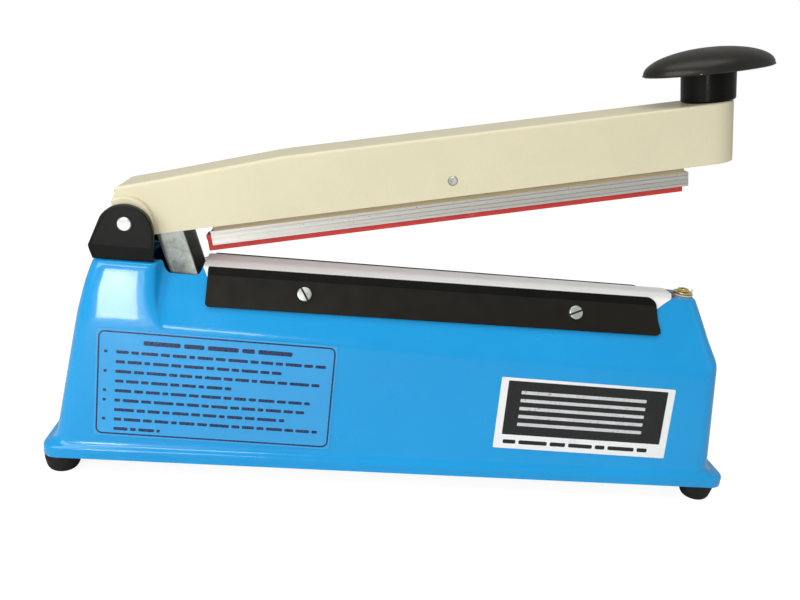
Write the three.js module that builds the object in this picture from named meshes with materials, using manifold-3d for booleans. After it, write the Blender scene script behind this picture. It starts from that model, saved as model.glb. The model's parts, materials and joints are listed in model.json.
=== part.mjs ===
// Hand-operated impulse heat sealer for 300 mm bag mouths.
// Millimetres, +Z up. X runs along the sealing line, away from the hinge. -Y is the operator's side.
// The origin is the centre of the underside of the bottom plate.
import * as THREE from 'three';
import { mergeVertices } from 'three/addons/utils/BufferGeometryUtils.js';
import Module from 'manifold-3d';

const wasm = await Module();
wasm.setup();

// ---- driving dimensions ----

const GAP = 0.3; // left between neighbours that touch
const SHEET_GAP = 0.12; // left between the thin layers on the sealing bed
const SKIN = 2; // thickness of the body shell
const DRAFT = THREE.MathUtils.degToRad(6.5); // lean of the long side walls
const FLANGE = { halfLength: 223, halfWidth: 45, height: 7, corner: 10 };
const WALL = { y: 42.3, z: 14 }; // a point of the front and rear walls, at the foot of the draft
const TOP_Z = 121; // height of the ridge that carries the sealing bed
const RIDGE = { half: 13.9, taper: 0.0096, slope: 0.534 }; // half width at x = 0, narrowing per mm, roof pitch
const HUMP = { top: 124, halfWidth: 28, foot: 88, footHalfWidth: 33.7, right: -156, footRight: -147 };
const SLOT = { left: -165, right: -131, halfWidth: 18, bottom: 100 };
const PLATE = { thickness: 1.5 };
const FOOT = { left: -212, right: 208, y: 34, radius: 11, height: 12 };
const PIVOT = { x: -175, z: 147, pin: 4.2, bore: 4.55 };
const REST_ANGLE = THREE.MathUtils.degToRad(12); // the open arm's slope
const ARM = { halfWidth: 19, bottom: -10.2, top: 26.7, kink: 95.5, end: 377.6, wall: 2.5 };
const ROCKER = { u: 196.1, v: -0.3, radius: 2.75 };
const BAR = { start: 44.7, end: 347.3, halfWidth: 8.5, top: -15.1, bottom: -23.9 };
const RUBBER = { start: 41, end: 345.8, bottom: -28.5 };
const KNOB = { u: 363, stem: 16.35, halfLength: 41, halfWidth: 26, foot: 44, height: 15 };
const CLAMP = { left: -127.5, right: 158, top: 121.5, bend: 117, lean: 0.15, bottom: 99.5,
  screws: [-67.8, 106.5], screwZ: 108.8 };
const CLOTH = { left: -130.6, right: 175, halfTop: 6.4, bottom: 101.5, thickness: 0.3 };
const TERMINAL_X = 186;
const PANEL = { z: 40, knobX: -70, lampX: -28, fuseX: -128, cordX: -192 };
const TRANSFORMER = { x: 68, z: 36, width: 76, height: 64, stack: 34, leg: 26, window: 12, coil: 11 };

// Outlines of the body, bottom to top, as [z, distance] points.
const LEFT_END = [[0, -223], [6.4, -223], [8, -219.4], [11, -216.8], [15, -215], [89.5, -204],
  [107.5, -200], [TOP_Z, -196], [HUMP.top, -194.6]];
const RIGHT_END = [[0, 223], [6.4, 223], [8, 219], [11, 214.6], [15, 211.8], [83, 206.8], [TOP_Z, 192.3]];
const SIDES = [[0, 45], [6.4, 45], [8, 43.8], [11, 42.9], [15, WALL.y - (15 - WALL.z) * Math.tan(DRAFT)],
  [TOP_Z, WALL.y - (TOP_Z - WALL.z) * Math.tan(DRAFT)]];

// ---- geometry helpers ----

// Three.js geometries repeat vertices along creases; lofts and cut pieces carry no normals and share theirs.
function toSolid(geometry) {
  let shared = geometry;
  if (geometry.attributes.normal) {
    const bare = geometry.clone();
    bare.deleteAttribute('normal');
    bare.deleteAttribute('uv');
    shared = mergeVertices(bare, 1e-4);
  }
  return new wasm.Manifold(new wasm.Mesh({
    numProp: 3,
    vertProperties: new Float32Array(shared.attributes.position.array),
    triVerts: new Uint32Array(shared.index.array),
  }));
}

function toGeometry(solid) {
  const mesh = solid.getMesh();
  const geometry = new THREE.BufferGeometry();
  geometry.setAttribute('position', new THREE.BufferAttribute(mesh.vertProperties, 3));
  geometry.setIndex(new THREE.BufferAttribute(mesh.triVerts, 1));
  return geometry;
}

const join = (...parts) => toGeometry(parts.map(toSolid).reduce((a, b) => a.add(b)));
const cut = (part, ...tools) => toGeometry(tools.map(toSolid).reduce((a, b) => a.subtract(b), toSolid(part)));
const common = (a, b) => toGeometry(toSolid(a).intersect(toSolid(b)));

// Skins a stack of closed rings of equal point counts; the end rings are capped. axis is the stacking axis.
function loft(rings, axis) {
  const count = rings[0].length;
  const positions = rings.flat().flatMap((p) => [p.x, p.y, p.z]);
  const index = [];
  for (let r = 0; r < rings.length - 1; r += 1) {
    for (let i = 0; i < count; i += 1) {
      const a = r * count + i;
      const b = r * count + ((i + 1) % count);
      index.push(a, b, b + count, a, b + count, a + count);
    }
  }
  const flat = (p) => (axis === 'z' ? new THREE.Vector2(p.x, p.y) : new THREE.Vector2(p.y, p.z));
  const cap = (ring) => THREE.ShapeUtils.triangulateShape(ring.map(flat), []);
  const last = (rings.length - 1) * count;
  for (const [a, b, c] of cap(rings[0])) index.push(c, b, a);
  for (const [a, b, c] of cap(rings[rings.length - 1])) index.push(last + a, last + b, last + c);
  const geometry = new THREE.BufferGeometry();
  geometry.setAttribute('position', new THREE.Float32BufferAttribute(positions, 3));
  geometry.setIndex(index);
  return geometry;
}

function box(x0, x1, y0, y1, z0, z1) {
  const geometry = new THREE.BoxGeometry(x1 - x0, y1 - y0, z1 - z0);
  return geometry.translate((x0 + x1) / 2, (y0 + y1) / 2, (z0 + z1) / 2);
}

// A round bar along +Z.
const bar = (radius, z0, z1, sides = 20) => new THREE.CylinderGeometry(radius, radius, z1 - z0, sides)
  .rotateX(Math.PI / 2).translate(0, 0, (z0 + z1) / 2);

// A round bar along Y.
const barY = (radius, y0, y1, sides = 20) => new THREE.CylinderGeometry(radius, radius, y1 - y0, sides)
  .translate(0, (y0 + y1) / 2, 0);

// A turned piece about Y from [radius, y] points, drawn in either direction.
function turnedY(points, sides = 24) {
  const profile = points.map(([r, y]) => new THREE.Vector2(r, y));
  if (THREE.ShapeUtils.area(profile) < 0) profile.reverse();
  return new THREE.LatheGeometry(profile, sides);
}

// The same about Z.
const turned = (points, sides = 24) => turnedY(points, sides).rotateX(Math.PI / 2);

// A shape drawn in X and Z, extruded from -half to +half in Y.
const acrossY = (shape, half, curveSegments = 8) => new THREE.ExtrudeGeometry(
  shape, { depth: 2 * half, bevelEnabled: false, curveSegments }).rotateX(Math.PI / 2).translate(0, half, 0);

// A shape drawn in X and Y, extruded from z0 to z1.
const upZ = (shape, z0, z1, curveSegments = 8) => new THREE.ExtrudeGeometry(
  shape, { depth: z1 - z0, bevelEnabled: false, curveSegments }).translate(0, 0, z0);

const polygon = (points) => new THREE.Shape(points.map(([x, y]) => new THREE.Vector2(x, y)));

function roundedRectangle(x0, x1, y0, y1, r) {
  const shape = new THREE.Shape();
  shape.absarc(x1 - r, y0 + r, r, -Math.PI / 2, 0);
  shape.absarc(x1 - r, y1 - r, r, 0, Math.PI / 2);
  shape.absarc(x0 + r, y1 - r, r, Math.PI / 2, Math.PI);
  shape.absarc(x0 + r, y0 + r, r, Math.PI, Math.PI * 1.5);
  return shape;
}

const circle = (x, y, r) => new THREE.Shape().absarc(x, y, r, 0, Math.PI * 2);

function withHole(shape, x, y, r) {
  shape.holes.push(new THREE.Path().absarc(x, y, r, 0, Math.PI * 2, true));
  return shape;
}

// A six-sided wire of the given radius through a list of [x, y, z] points.
function wire(points, radius, steps) {
  const curve = new THREE.CatmullRomCurve3(points.map((p) => new THREE.Vector3(...p)));
  return new THREE.ExtrudeGeometry(circle(0, 0, radius), {
    steps, extrudePath: curve, curveSegments: 3, bevelEnabled: false,
  });
}

// The value at z of an outline of [z, value] points.
function along(outline, z) {
  const i = Math.max(1, outline.findIndex(([level]) => level >= z));
  const [[z0, a], [z1, b]] = [outline[i - 1], outline[i]];
  return a + ((b - a) * (z - z0)) / (z1 - z0);
}

// ---- materials ----

const paint = (color, roughness, metalness = 0) => new THREE.MeshStandardMaterial({
  color, roughness, metalness,
});
const MATERIALS = {
  blue: paint(0x1ea4e3, 0.3),
  cream: paint(0xe4dfc1, 0.45),
  black: paint(0x26271f, 0.45),
  plate: paint(0x282820, 0.5),
  rubber: paint(0x1c1c1c, 0.9),
  silicone: paint(0xdf6361, 0.6),
  aluminium: paint(0xb9b7aa, 0.35, 1),
  zinc: paint(0xb0b4a5, 0.35, 1),
  steel: paint(0x9a9a98, 0.4, 1),
  brass: paint(0xcdc5a0, 0.35, 1),
  nichrome: paint(0x8d8a84, 0.4, 1),
  cloth: paint(0xe6e8da, 0.7),
  board: paint(0x2f6b3a, 0.6),
  copper: paint(0xa8643a, 0.5, 1),
  plastic: paint(0x202124, 0.5),
  white: paint(0xe9e9e4, 0.5),
  lamp: paint(0xd8431f, 0.2),
  label: paint(0x6db6dc, 0.3),
  insulator: paint(0x8a4a2a, 0.6),
};

const model = new THREE.Group();

function add(name, geometry, material, parent = model) {
  const mesh = new THREE.Mesh(geometry, MATERIALS[material].clone());
  mesh.name = name;
  parent.add(mesh);
  return mesh;
}

// ---- the body shell ----

const wallHalfWidth = (z) => WALL.y - (z - WALL.z) * Math.tan(DRAFT);

// Half width of the roof at (x, z), on a surface lifted off the sheet by lift.
const roofHalf = (x, z, lift = 0) => RIDGE.half - RIDGE.taper * x + RIDGE.slope * (TOP_Z - z)
  + lift * Math.hypot(1, RIDGE.slope, RIDGE.taper);

function ring(x0, x1, half, r, z) {
  return roundedRectangle(x0, x1, -half, half, r).getPoints(2).map((p) => new THREE.Vector3(p.x, p.y, z));
}

function walls(inset) {
  const levels = [...new Set([...LEFT_END, ...RIGHT_END, ...SIDES].map(([z]) => z))]
    .filter((z) => z <= TOP_Z).sort((a, b) => a - b);
  const rings = levels.map((z) => ring(along(LEFT_END, z) + inset, along(RIGHT_END, z) - inset,
    along(SIDES, z) - inset, FLANGE.corner - inset, z - inset));
  return loft(rings, 'z');
}

function roof(inset) {
  const section = (x) => {
    const low = -2 * SKIN;
    const top = TOP_Z - inset;
    const half = (z) => roofHalf(x, z, -inset);
    return [[-half(low), low], [half(low), low], [half(top), top], [-half(top), top]]
      .map(([y, z]) => new THREE.Vector3(x, y, z));
  };
  const reach = FLANGE.halfLength + SKIN;
  return loft([section(-reach), section(reach)], 'x');
}

function hump(inset) {
  const rise = HUMP.top - HUMP.foot;
  const rings = [HUMP.foot, 107.5, TOP_Z - 1, HUMP.top].map((z) => {
    const t = (z - HUMP.foot) / rise;
    const right = THREE.MathUtils.lerp(HUMP.footRight, HUMP.right, Math.sqrt(t));
    const half = THREE.MathUtils.lerp(HUMP.footHalfWidth, HUMP.halfWidth, t);
    return ring(along(LEFT_END, z) + inset, right - inset, half - inset, 7 - inset, z - inset);
  });
  return loft(rings, 'z');
}

const bodyForm = (inset) => join(common(walls(inset), roof(inset)), hump(inset));

const footPlaces = [
  ['front_left', FOOT.left, -FOOT.y], ['front_right', FOOT.right, -FOOT.y],
  ['rear_left', FOOT.left, FOOT.y], ['rear_right', FOOT.right, FOOT.y],
];
const saddleScrewPlaces = [['front', -15], ['rear', 15]];
const SADDLE_SCREW_X = -186;

// Bores square to the roof for the clamp screws.
function roofTool(x, side, geometry) {
  const normal = new THREE.Vector3(RIDGE.taper, side, RIDGE.slope).normalize();
  const turn = new THREE.Quaternion().setFromUnitVectors(new THREE.Vector3(0, 0, 1), normal);
  const place = new THREE.Vector3(x, side * roofHalf(x, CLAMP.screwZ), CLAMP.screwZ);
  return geometry.applyMatrix4(new THREE.Matrix4().compose(place, turn, new THREE.Vector3(1, 1, 1)));
}

const clampPlaces = [['front_left', CLAMP.screws[0], -1], ['front_right', CLAMP.screws[1], -1],
  ['rear_left', CLAMP.screws[0], 1], ['rear_right', CLAMP.screws[1], 1]];
const clampHoles = (side) => clampPlaces.filter(([, , s]) => side === 0 || s === side)
  .map(([, x, s]) => roofTool(x, s, bar(2.4, -8, 8, 12)));

// Places geometry built about the Y axis square to the rear wall.
function onRearWall(geometry, x, z) {
  const turn = new THREE.Matrix4().makeRotationX(DRAFT);
  turn.setPosition(x, wallHalfWidth(z), z);
  return geometry.applyMatrix4(turn);
}

const PANEL_HOLES = [[PANEL.knobX, PANEL.z, 3.8], [PANEL.lampX, PANEL.z + 8, 4.2],
  [PANEL.fuseX, PANEL.z - 6, 6], [PANEL.cordX, 26, 6.4]];

function bodyShell() {
  const post = (x, y) => bar(5, PLATE.thickness + GAP, 16).translate(x, y, 0);
  const posts = join(...footPlaces.map(([, x, y]) => post(x, y)));
  const shell = join(cut(bodyForm(0), bodyForm(SKIN)), common(posts, bodyForm(SKIN / 2)));
  return cut(shell,
    box(SLOT.left, SLOT.right, -SLOT.halfWidth, SLOT.halfWidth, SLOT.bottom, HUMP.top + 1),
    bar(4.2, TOP_Z - 5, TOP_Z + 1).translate(TERMINAL_X, 0, 0),
    ...footPlaces.map(([, x, y]) => bar(2.2, -1, 13, 12).translate(x, y, 0)),
    ...saddleScrewPlaces.map(([, y]) => bar(2.4, HUMP.top - 6, HUMP.top + 1, 12).translate(SADDLE_SCREW_X, y, 0)),
    ...clampHoles(0),
    ...PANEL_HOLES.map(([x, z, r]) => onRearWall(barY(r, -5, 5), x, z)));
}

add('body_shell', bodyShell(), 'blue');

// ---- underside ----

const TRANSFORMER_FEET = [TRANSFORMER.x - 48, TRANSFORMER.x + 48];
const SWITCH_BRACKET = { x0: -186, x1: -158, y: 5.4, footY: 20 };
const ANCHOR_X = -50;

const PLATE_MIDDLE = [-30, 12]; // the stretch of the bottom plate that has no holes

// A flat plate whose faces are meshed zone by zone, so that a zone without holes stays two plain triangles.
function zonedPlate(zones, z0, z1) {
  const corners = [];
  const numbers = new Map();
  const numberOf = (p) => {
    const key = `${p.x.toFixed(3)} ${p.y.toFixed(3)}`;
    if (!numbers.has(key)) numbers.set(key, corners.push(p) - 1);
    return numbers.get(key);
  };
  const triangles = zones.flatMap(({ rim, holes }) => {
    const points = [rim, ...holes].flat();
    return THREE.ShapeUtils.triangulateShape(rim, holes).map((t) => t.map((i) => numberOf(points[i])));
  });
  const edges = triangles.flatMap(([a, b, c]) => [[a, b], [b, c], [c, a]]);
  const taken = new Set(edges.map(String));
  const count = corners.length;
  const index = triangles.flatMap(([a, b, c]) => [c, b, a, a + count, b + count, c + count]);
  for (const [a, b] of edges) {
    if (!taken.has(String([b, a]))) index.push(a, b, b + count, a, b + count, a + count);
  }
  const geometry = new THREE.BufferGeometry();
  geometry.setAttribute('position', new THREE.Float32BufferAttribute(
    [z0, z1].flatMap((z) => corners.flatMap((p) => [p.x, p.y, z])), 3));
  geometry.setIndex(index);
  return geometry;
}

function bottomPlate() {
  const edge = SKIN + GAP;
  const half = FLANGE.halfWidth - edge;
  const rim = roundedRectangle(-FLANGE.halfLength + edge, FLANGE.halfLength - edge, -half, half,
    FLANGE.corner - edge).getPoints(2).slice(0, -1);
  const across = (x) => [new THREE.Vector2(x, -half), new THREE.Vector2(x, half)];
  const [left, right] = PLATE_MIDDLE;
  const holes = [...footPlaces.map(([, x, y]) => [x, y]), ...TRANSFORMER_FEET.map((x) => [x, 0])];
  const holesIn = (test) => holes.filter(([x]) => test(x))
    .map(([x, y]) => circle(x, y, 2.3).getPoints(8).slice(0, -1).reverse());
  return zonedPlate([
    { rim: [...rim.filter((p) => p.x < left), ...across(left)], holes: holesIn((x) => x < left) },
    { rim: [...across(left), ...across(right).reverse()].reverse(), holes: [] },
    { rim: [...rim.filter((p) => p.x > right), ...across(right).reverse()], holes: holesIn((x) => x > right) },
  ], 0, PLATE.thickness);
}

add('bottom_plate', bottomPlate(), 'steel');

for (const [place, x, y] of footPlaces) {
  const foot = turned([[2.4, -0.1], [FOOT.radius, -0.1], [FOOT.radius, -3], [9.6, -9.5], [7.6, -FOOT.height],
    [4.6, -FOOT.height], [4.6, -6], [2.4, -6], [2.4, -0.1]], 16);
  add(`foot_${place}`, foot.translate(x, y, 0), 'rubber');
  const screw = join(bar(3.8, -8.4, -6 - SHEET_GAP, 16), bar(1.9, -7, 12, 12));
  add(`foot_screw_${place}`, screw.translate(x, y, 0), 'zinc');
}

// ---- hinge ----

const SADDLE = { left: -194, shoulder: -196.2, shoulderZ: 132.6, right: -158.6, arcZ: 141.9,
  radius: 16.4, outer: 27.8, inner: 22.8, base: HUMP.top + GAP, floor: 128, floorRight: -168 };

function hingeSaddle() {
  const cheek = new THREE.Shape();
  cheek.moveTo(SADDLE.left, SADDLE.base);
  cheek.lineTo(SADDLE.right, SADDLE.base);
  cheek.absarc(PIVOT.x, SADDLE.arcZ, SADDLE.radius, 0, THREE.MathUtils.degToRad(150));
  cheek.lineTo(SADDLE.shoulder, SADDLE.shoulderZ);
  const half = (SADDLE.outer - SADDLE.inner) / 2;
  const offset = (SADDLE.outer + SADDLE.inner) / 2;
  const floor = box(SADDLE.left, SADDLE.floorRight, -SADDLE.inner - 1, SADDLE.inner + 1,
    SADDLE.base, SADDLE.floor);
  return cut(
    join(acrossY(cheek, half).translate(0, offset, 0), acrossY(cheek, half).translate(0, -offset, 0), floor),
    barY(PIVOT.bore, -30, 30).translate(PIVOT.x, 0, PIVOT.z),
    ...saddleScrewPlaces.map(([, y]) => bar(2.4, 120, 132, 12).translate(SADDLE_SCREW_X, y, 0)));
}

add('hinge_saddle', hingeSaddle(), 'black');
for (const [place, y] of saddleScrewPlaces) {
  const screw = join(bar(4, SADDLE.floor + SHEET_GAP, SADDLE.floor + 2.4, 16), bar(2, 112, SADDLE.floor + 1, 12));
  add(`saddle_screw_${place}`, screw.translate(SADDLE_SCREW_X, y, 0), 'zinc');
}
add('pivot_pin', barY(PIVOT.pin, -28.8, 28.8, 24).translate(PIVOT.x, 0, PIVOT.z), 'zinc');

// ---- sealing bed ----

// A prism along X. Each point of the section is a function of x giving [y, z]; ends gives x from z at each end.
function prismX(points, ends) {
  const rings = ends.map((endX) => points.map((point) => {
    const [, z] = point(0);
    const x = endX(z);
    return new THREE.Vector3(x, ...point(x));
  }));
  return loft(rings, 'x');
}

const square = (x0, x1) => [() => x0, () => x1];
const STRIP = { bottom: TOP_Z + SHEET_GAP, top: TOP_Z + 1.2, right: 178 };
const RIBBON = { halfWidth: 1.5, bottom: STRIP.top + 0.08, thickness: 0.25, left: -132.4 };

add('insulating_strip', box(CLOTH.left, STRIP.right, -CLOTH.halfTop, CLOTH.halfTop,
  STRIP.bottom, STRIP.top), 'insulator');

function heatingElement() {
  const top = RIBBON.bottom + RIBBON.thickness;
  const flat = box(RIBBON.left, TERMINAL_X + 3, -RIBBON.halfWidth, RIBBON.halfWidth, RIBBON.bottom, top);
  const drop = box(RIBBON.left, RIBBON.left + RIBBON.thickness, -RIBBON.halfWidth, RIBBON.halfWidth, 104, top);
  return cut(join(flat, drop), bar(2.6, TOP_Z, TOP_Z + 5, 12).translate(TERMINAL_X, 0, 0));
}

add('heating_element', cut(join(heatingElement(),
  upZ(withHole(circle(TERMINAL_X, 0, 4.5), TERMINAL_X, 0, 2.6), RIBBON.bottom, RIBBON.bottom + RIBBON.thickness)),
bar(2.6, TOP_Z, TOP_Z + 5, 12).translate(TERMINAL_X, 0, 0)), 'nichrome');

// The cloth lies over the bed and runs down both roof faces under the clamp plates.
function clothFace(side, lift) {
  const top = TOP_Z + 1.7 + lift - CLOTH.thickness;
  return [
    (x) => [side * roofHalf(x, CLOTH.bottom, lift), CLOTH.bottom],
    (x) => [side * roofHalf(x, TOP_Z + lift / 2, lift), TOP_Z + lift / 2],
    () => [side * CLOTH.halfTop, top],
  ];
}

function ptfeCloth() {
  const inner = CLOTH.thickness;
  const outer = 2 * CLOTH.thickness;
  const points = [...clothFace(1, outer), ...clothFace(-1, outer).reverse(),
    ...clothFace(-1, inner), ...clothFace(1, inner).reverse()];
  return cut(prismX(points, square(CLOTH.left, CLOTH.right)), ...clampHoles(0));
}

add('ptfe_cloth', ptfeCloth(), 'cloth');

const CLAMP_LIFT = { inner: 3 * CLOTH.thickness, outer: 3 * CLOTH.thickness + 1.2 };

// A blade on the roof whose upper band leans in towards the cloth.
function clampPlate(side) {
  const face = (lift) => [
    (x) => [side * roofHalf(x, CLAMP.bottom, lift), CLAMP.bottom],
    (x) => [side * roofHalf(x, CLAMP.bend, lift), CLAMP.bend],
    (x) => [side * roofHalf(x, CLAMP.top, lift - CLAMP.lean), CLAMP.top],
  ];
  const points = [...face(CLAMP_LIFT.outer), ...face(CLAMP_LIFT.inner).reverse()];
  const ordered = side > 0 ? points : points.reverse();
  const ends = [() => CLAMP.left, (z) => CLAMP.right + (CLAMP.top - z) * 0.26];
  return cut(prismX(ordered, ends), ...clampHoles(side));
}

add('clamp_plate_front', clampPlate(-1), 'plate');
add('clamp_plate_rear', clampPlate(1), 'plate');

// Cheese-head screw with a driver slot.
function slottedScrew(headRadius, headHeight, shankRadius, length) {
  const body = join(bar(headRadius, 0, headHeight, 20), bar(shankRadius, -length, 1, 12));
  return cut(body, box(-headRadius - 1, headRadius + 1, -0.6, 0.6, headHeight - 1.1, headHeight + 1));
}

for (const [place, x, side] of clampPlaces) {
  const screw = slottedScrew(4.5, 2.4, 2, 8).translate(0, 0, CLAMP_LIFT.outer + SHEET_GAP);
  add(`clamp_screw_${place}`, roofTool(x, side, screw), 'zinc');
}

// Right-hand terminal, out on the ridge.
add('terminal_bush', turned([[2.4, TOP_Z - 5], [3.9, TOP_Z - 5], [3.9, TOP_Z + SHEET_GAP],
  [6.6, TOP_Z + SHEET_GAP], [6.6, STRIP.top], [2.4, STRIP.top], [2.4, TOP_Z - 5]])
  .translate(TERMINAL_X, 0, 0), 'insulator');
const WASHER_Z = RIBBON.bottom + RIBBON.thickness + SHEET_GAP;
add('terminal_washer', upZ(withHole(circle(TERMINAL_X, 0, 6.2), TERMINAL_X, 0, 2.4), WASHER_Z, WASHER_Z + 0.9),
  'brass');
add('terminal_screw_right', slottedScrew(4, 2.2, 2, 14)
  .translate(TERMINAL_X, 0, WASHER_Z + 0.9 + SHEET_GAP), 'brass');

// Left-hand terminal, hung under the ridge beside the slot.
const LEFT_BLOCK = { x0: -129.8, x1: -115, half: 8, z0: 102, z1: TOP_Z - SKIN - GAP, screwZ: 108 };
add('terminal_block_left', cut(
  box(LEFT_BLOCK.x0, LEFT_BLOCK.x1, -LEFT_BLOCK.half, LEFT_BLOCK.half, LEFT_BLOCK.z0, LEFT_BLOCK.z1),
  bar(2.2, -30, 30, 12).rotateY(Math.PI / 2).translate(-120, 0, LEFT_BLOCK.screwZ)), 'insulator');

// ---- arm ----

const arm = new THREE.Group();
arm.position.set(PIVOT.x, 0, PIVOT.z);
arm.rotation.y = -REST_ANGLE;
model.add(arm);

const armTopAt = (u) => Math.min(ARM.top, 20.3 + ((ARM.top - 20.3) * (u + 4.2)) / (ARM.kink + 4.2));

const HUB_LEFT = -7.3; // the hub and its round bosses are cut flat here
const HUB_EDGE = 10; // where the solid hub ends and the hollow of the arm begins

function armSide(inset) {
  const shape = new THREE.Shape();
  const start = inset > 0 ? HUB_EDGE : -5.8;
  if (inset > 0) {
    shape.moveTo(start, ARM.bottom - 5);
  } else {
    shape.absarc(0, 0, -ARM.bottom, Math.PI * 1.5, Math.PI * 0.68, true);
    shape.lineTo(-5.8, 9.3);
  }
  shape.lineTo(start + 1.6, armTopAt(start) - inset);
  shape.lineTo(ARM.kink, ARM.top - inset);
  shape.lineTo(ARM.end + 1, ARM.top - inset);
  shape.lineTo(ARM.end + 1, ARM.bottom - (inset > 0 ? 5 : 0));
  return acrossY(shape, ARM.halfWidth + 1);
}

function armPlan(inset) {
  const r = ARM.halfWidth - inset;
  const shape = new THREE.Shape();
  shape.moveTo(-20, -r);
  shape.lineTo(ARM.end - ARM.halfWidth, -r);
  shape.absarc(ARM.end - ARM.halfWidth, 0, r, -Math.PI / 2, Math.PI / 2);
  shape.lineTo(-20, r);
  return upZ(shape, -40, 40, 12);
}

function pressArm() {
  const skin = common(armSide(0), armPlan(0));
  const hollow = common(armSide(ARM.wall), armPlan(ARM.wall));
  const boss = barY(15, -SADDLE.inner + GAP, SADDLE.inner - GAP, 32);
  const hub = common(boss, box(HUB_LEFT, HUB_EDGE, -30, 30, -16, 16));
  const rim = common(boss, join(box(HUB_LEFT, 16, 16.6, 30, -16, 16), box(HUB_LEFT, 16, -30, -16.6, -16, 16)));
  return cut(join(cut(skin, hollow), hub, rim),
    barY(PIVOT.bore, -30, 30),
    barY(ROCKER.radius + GAP, -30, 30).translate(ROCKER.u, 0, ROCKER.v),
    bar(4.3, 20, 30, 16).translate(KNOB.u, 0, 0));
}

add('press_arm', pressArm(), 'cream', arm);

// Channel-section link, open towards the free end of the arm, leaning slightly from square to it.
const LINK = { u: 30.2, v: -10.9, depth: 16.5, half: 16.2, wall: 2, up: 18, down: 66,
  lean: THREE.MathUtils.degToRad(7) };

function linkBracket() {
  const channel = cut(box(-LINK.depth, 0, -LINK.half, LINK.half, -LINK.down, LINK.up),
    box(-LINK.depth + LINK.wall, 1, -LINK.half + LINK.wall, LINK.half - LINK.wall, -LINK.down - 1, LINK.up + 1));
  return channel.rotateY(-LINK.lean).translate(LINK.u, 0, LINK.v);
}

add('link_bracket', linkBracket(), 'zinc', arm);

function knobStem() {
  return turned([[4.5, ARM.top + SHEET_GAP], [KNOB.stem - 1.5, ARM.top + SHEET_GAP], [KNOB.stem, ARM.top + 1.6],
    [KNOB.stem, KNOB.foot], [4.5, KNOB.foot], [4.5, ARM.top + SHEET_GAP]], 32).translate(KNOB.u, 0, 0);
}

// Oval mushroom cap: rings of an ellipse that shrink along a dome.
function knobCap() {
  const rings = [];
  const low = KNOB.foot + SHEET_GAP;
  const oval = (scale, z) => Array.from({ length: 32 }, (_, i) => {
    const a = (i / 32) * Math.PI * 2;
    return new THREE.Vector3(KNOB.u + KNOB.halfLength * scale * Math.cos(a),
      KNOB.halfWidth * scale * Math.sin(a), z);
  });
  rings.push(oval(0.45, low), oval(0.97, low + 0.4), oval(1, low + 1.4));
  for (const t of [0.3, 0.55, 0.75, 0.9]) {
    rings.push(oval(Math.cos((t * Math.PI) / 2), low + 1.4 + (KNOB.height - 1.4) * Math.sin((t * Math.PI) / 2)));
  }
  return cut(loft(rings, 'z'), bar(4.3, low - 1, low + 8, 16).translate(KNOB.u, 0, 0));
}

add('knob_stem', knobStem(), 'black', arm);
add('knob_cap', knobCap(), 'black', arm);
add('knob_bolt', join(bar(7, ARM.top - ARM.wall - 5.5, ARM.top - ARM.wall - GAP, 6),
  bar(4, ARM.top - ARM.wall - 2, KNOB.foot + 7.5, 16)).translate(KNOB.u, 0, 0), 'zinc', arm);

// ---- self-aligning press bar ----

const HOLDER = { start: 47, end: 344, half: 10, top: -6, lug: 14, lugTop: 6 };

function barHolder() {
  const rail = box(HOLDER.start, HOLDER.end, -HOLDER.half, HOLDER.half, BAR.top + SHEET_GAP, HOLDER.top);
  const lug = box(ROCKER.u - HOLDER.lug, ROCKER.u + HOLDER.lug, -HOLDER.half, HOLDER.half,
    HOLDER.top - 1, HOLDER.lugTop);
  return cut(join(rail, lug), barY(ROCKER.radius + GAP, -30, 30).translate(ROCKER.u, 0, ROCKER.v));
}

add('bar_holder', barHolder(), 'cream', arm);

const GROOVE = { half: 5.2, mouth: 3.3, top: -17.4, bottom: -21 };

function pressBar() {
  return cut(box(BAR.start, BAR.end, -BAR.halfWidth, BAR.halfWidth, BAR.bottom, BAR.top),
    box(BAR.start - 1, BAR.end + 1, -GROOVE.half, GROOVE.half, GROOVE.bottom, GROOVE.top),
    box(BAR.start - 1, BAR.end + 1, -GROOVE.mouth, GROOVE.mouth, BAR.bottom - 1, GROOVE.bottom + 1));
}

function rubberStrip() {
  return join(
    box(RUBBER.start, RUBBER.end, -GROOVE.half + GAP, GROOVE.half - GAP, GROOVE.bottom + GAP, GROOVE.top - GAP),
    box(RUBBER.start, RUBBER.end, -GROOVE.mouth + GAP, GROOVE.mouth - GAP, RUBBER.bottom, GROOVE.bottom + 1));
}

add('press_bar', pressBar(), 'aluminium', arm);
add('rubber_strip', rubberStrip(), 'silicone', arm);
add('rocker_pin', barY(ROCKER.radius, -ARM.halfWidth - 0.6, ARM.halfWidth + 0.6)
  .translate(ROCKER.u, 0, ROCKER.v), 'zinc', arm);

// ---- return spring ----

// World [x, z] of a point given along and square to the open arm.
function armPoint(u, v) {
  const c = Math.cos(REST_ANGLE);
  const s = Math.sin(REST_ANGLE);
  return [PIVOT.x + u * c - v * s, PIVOT.z + u * s + v * c];
}

const linkEnd = (down, back) => armPoint(
  LINK.u + down * Math.sin(LINK.lean) - back * Math.cos(LINK.lean),
  LINK.v - down * Math.cos(LINK.lean) - back * Math.sin(LINK.lean));

const SPRING = { radius: 4.6, wire: 0.6, turns: 9, z: 0, start: 0, end: ANCHOR_X - 2 };
[SPRING.start, SPRING.z] = linkEnd(LINK.down - 8, LINK.depth - LINK.wall - 1.2);

function returnSpring() {
  const { radius, turns, start, end, z } = SPRING;
  const lead = 8;
  const points = [[start, 0, z], [start + lead / 2, 0, z]];
  const steps = turns * 8;
  for (let i = 0; i <= steps; i += 1) {
    const a = (i / 8) * Math.PI * 2;
    const x = start + lead + ((end - start - 2 * lead) * i) / steps;
    points.push([x, radius * Math.sin(a), z + radius * Math.cos(a)]);
  }
  points.push([end - lead / 2, 0, z], [end, 0, z]);
  return wire(points, SPRING.wire, 92);
}

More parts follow.
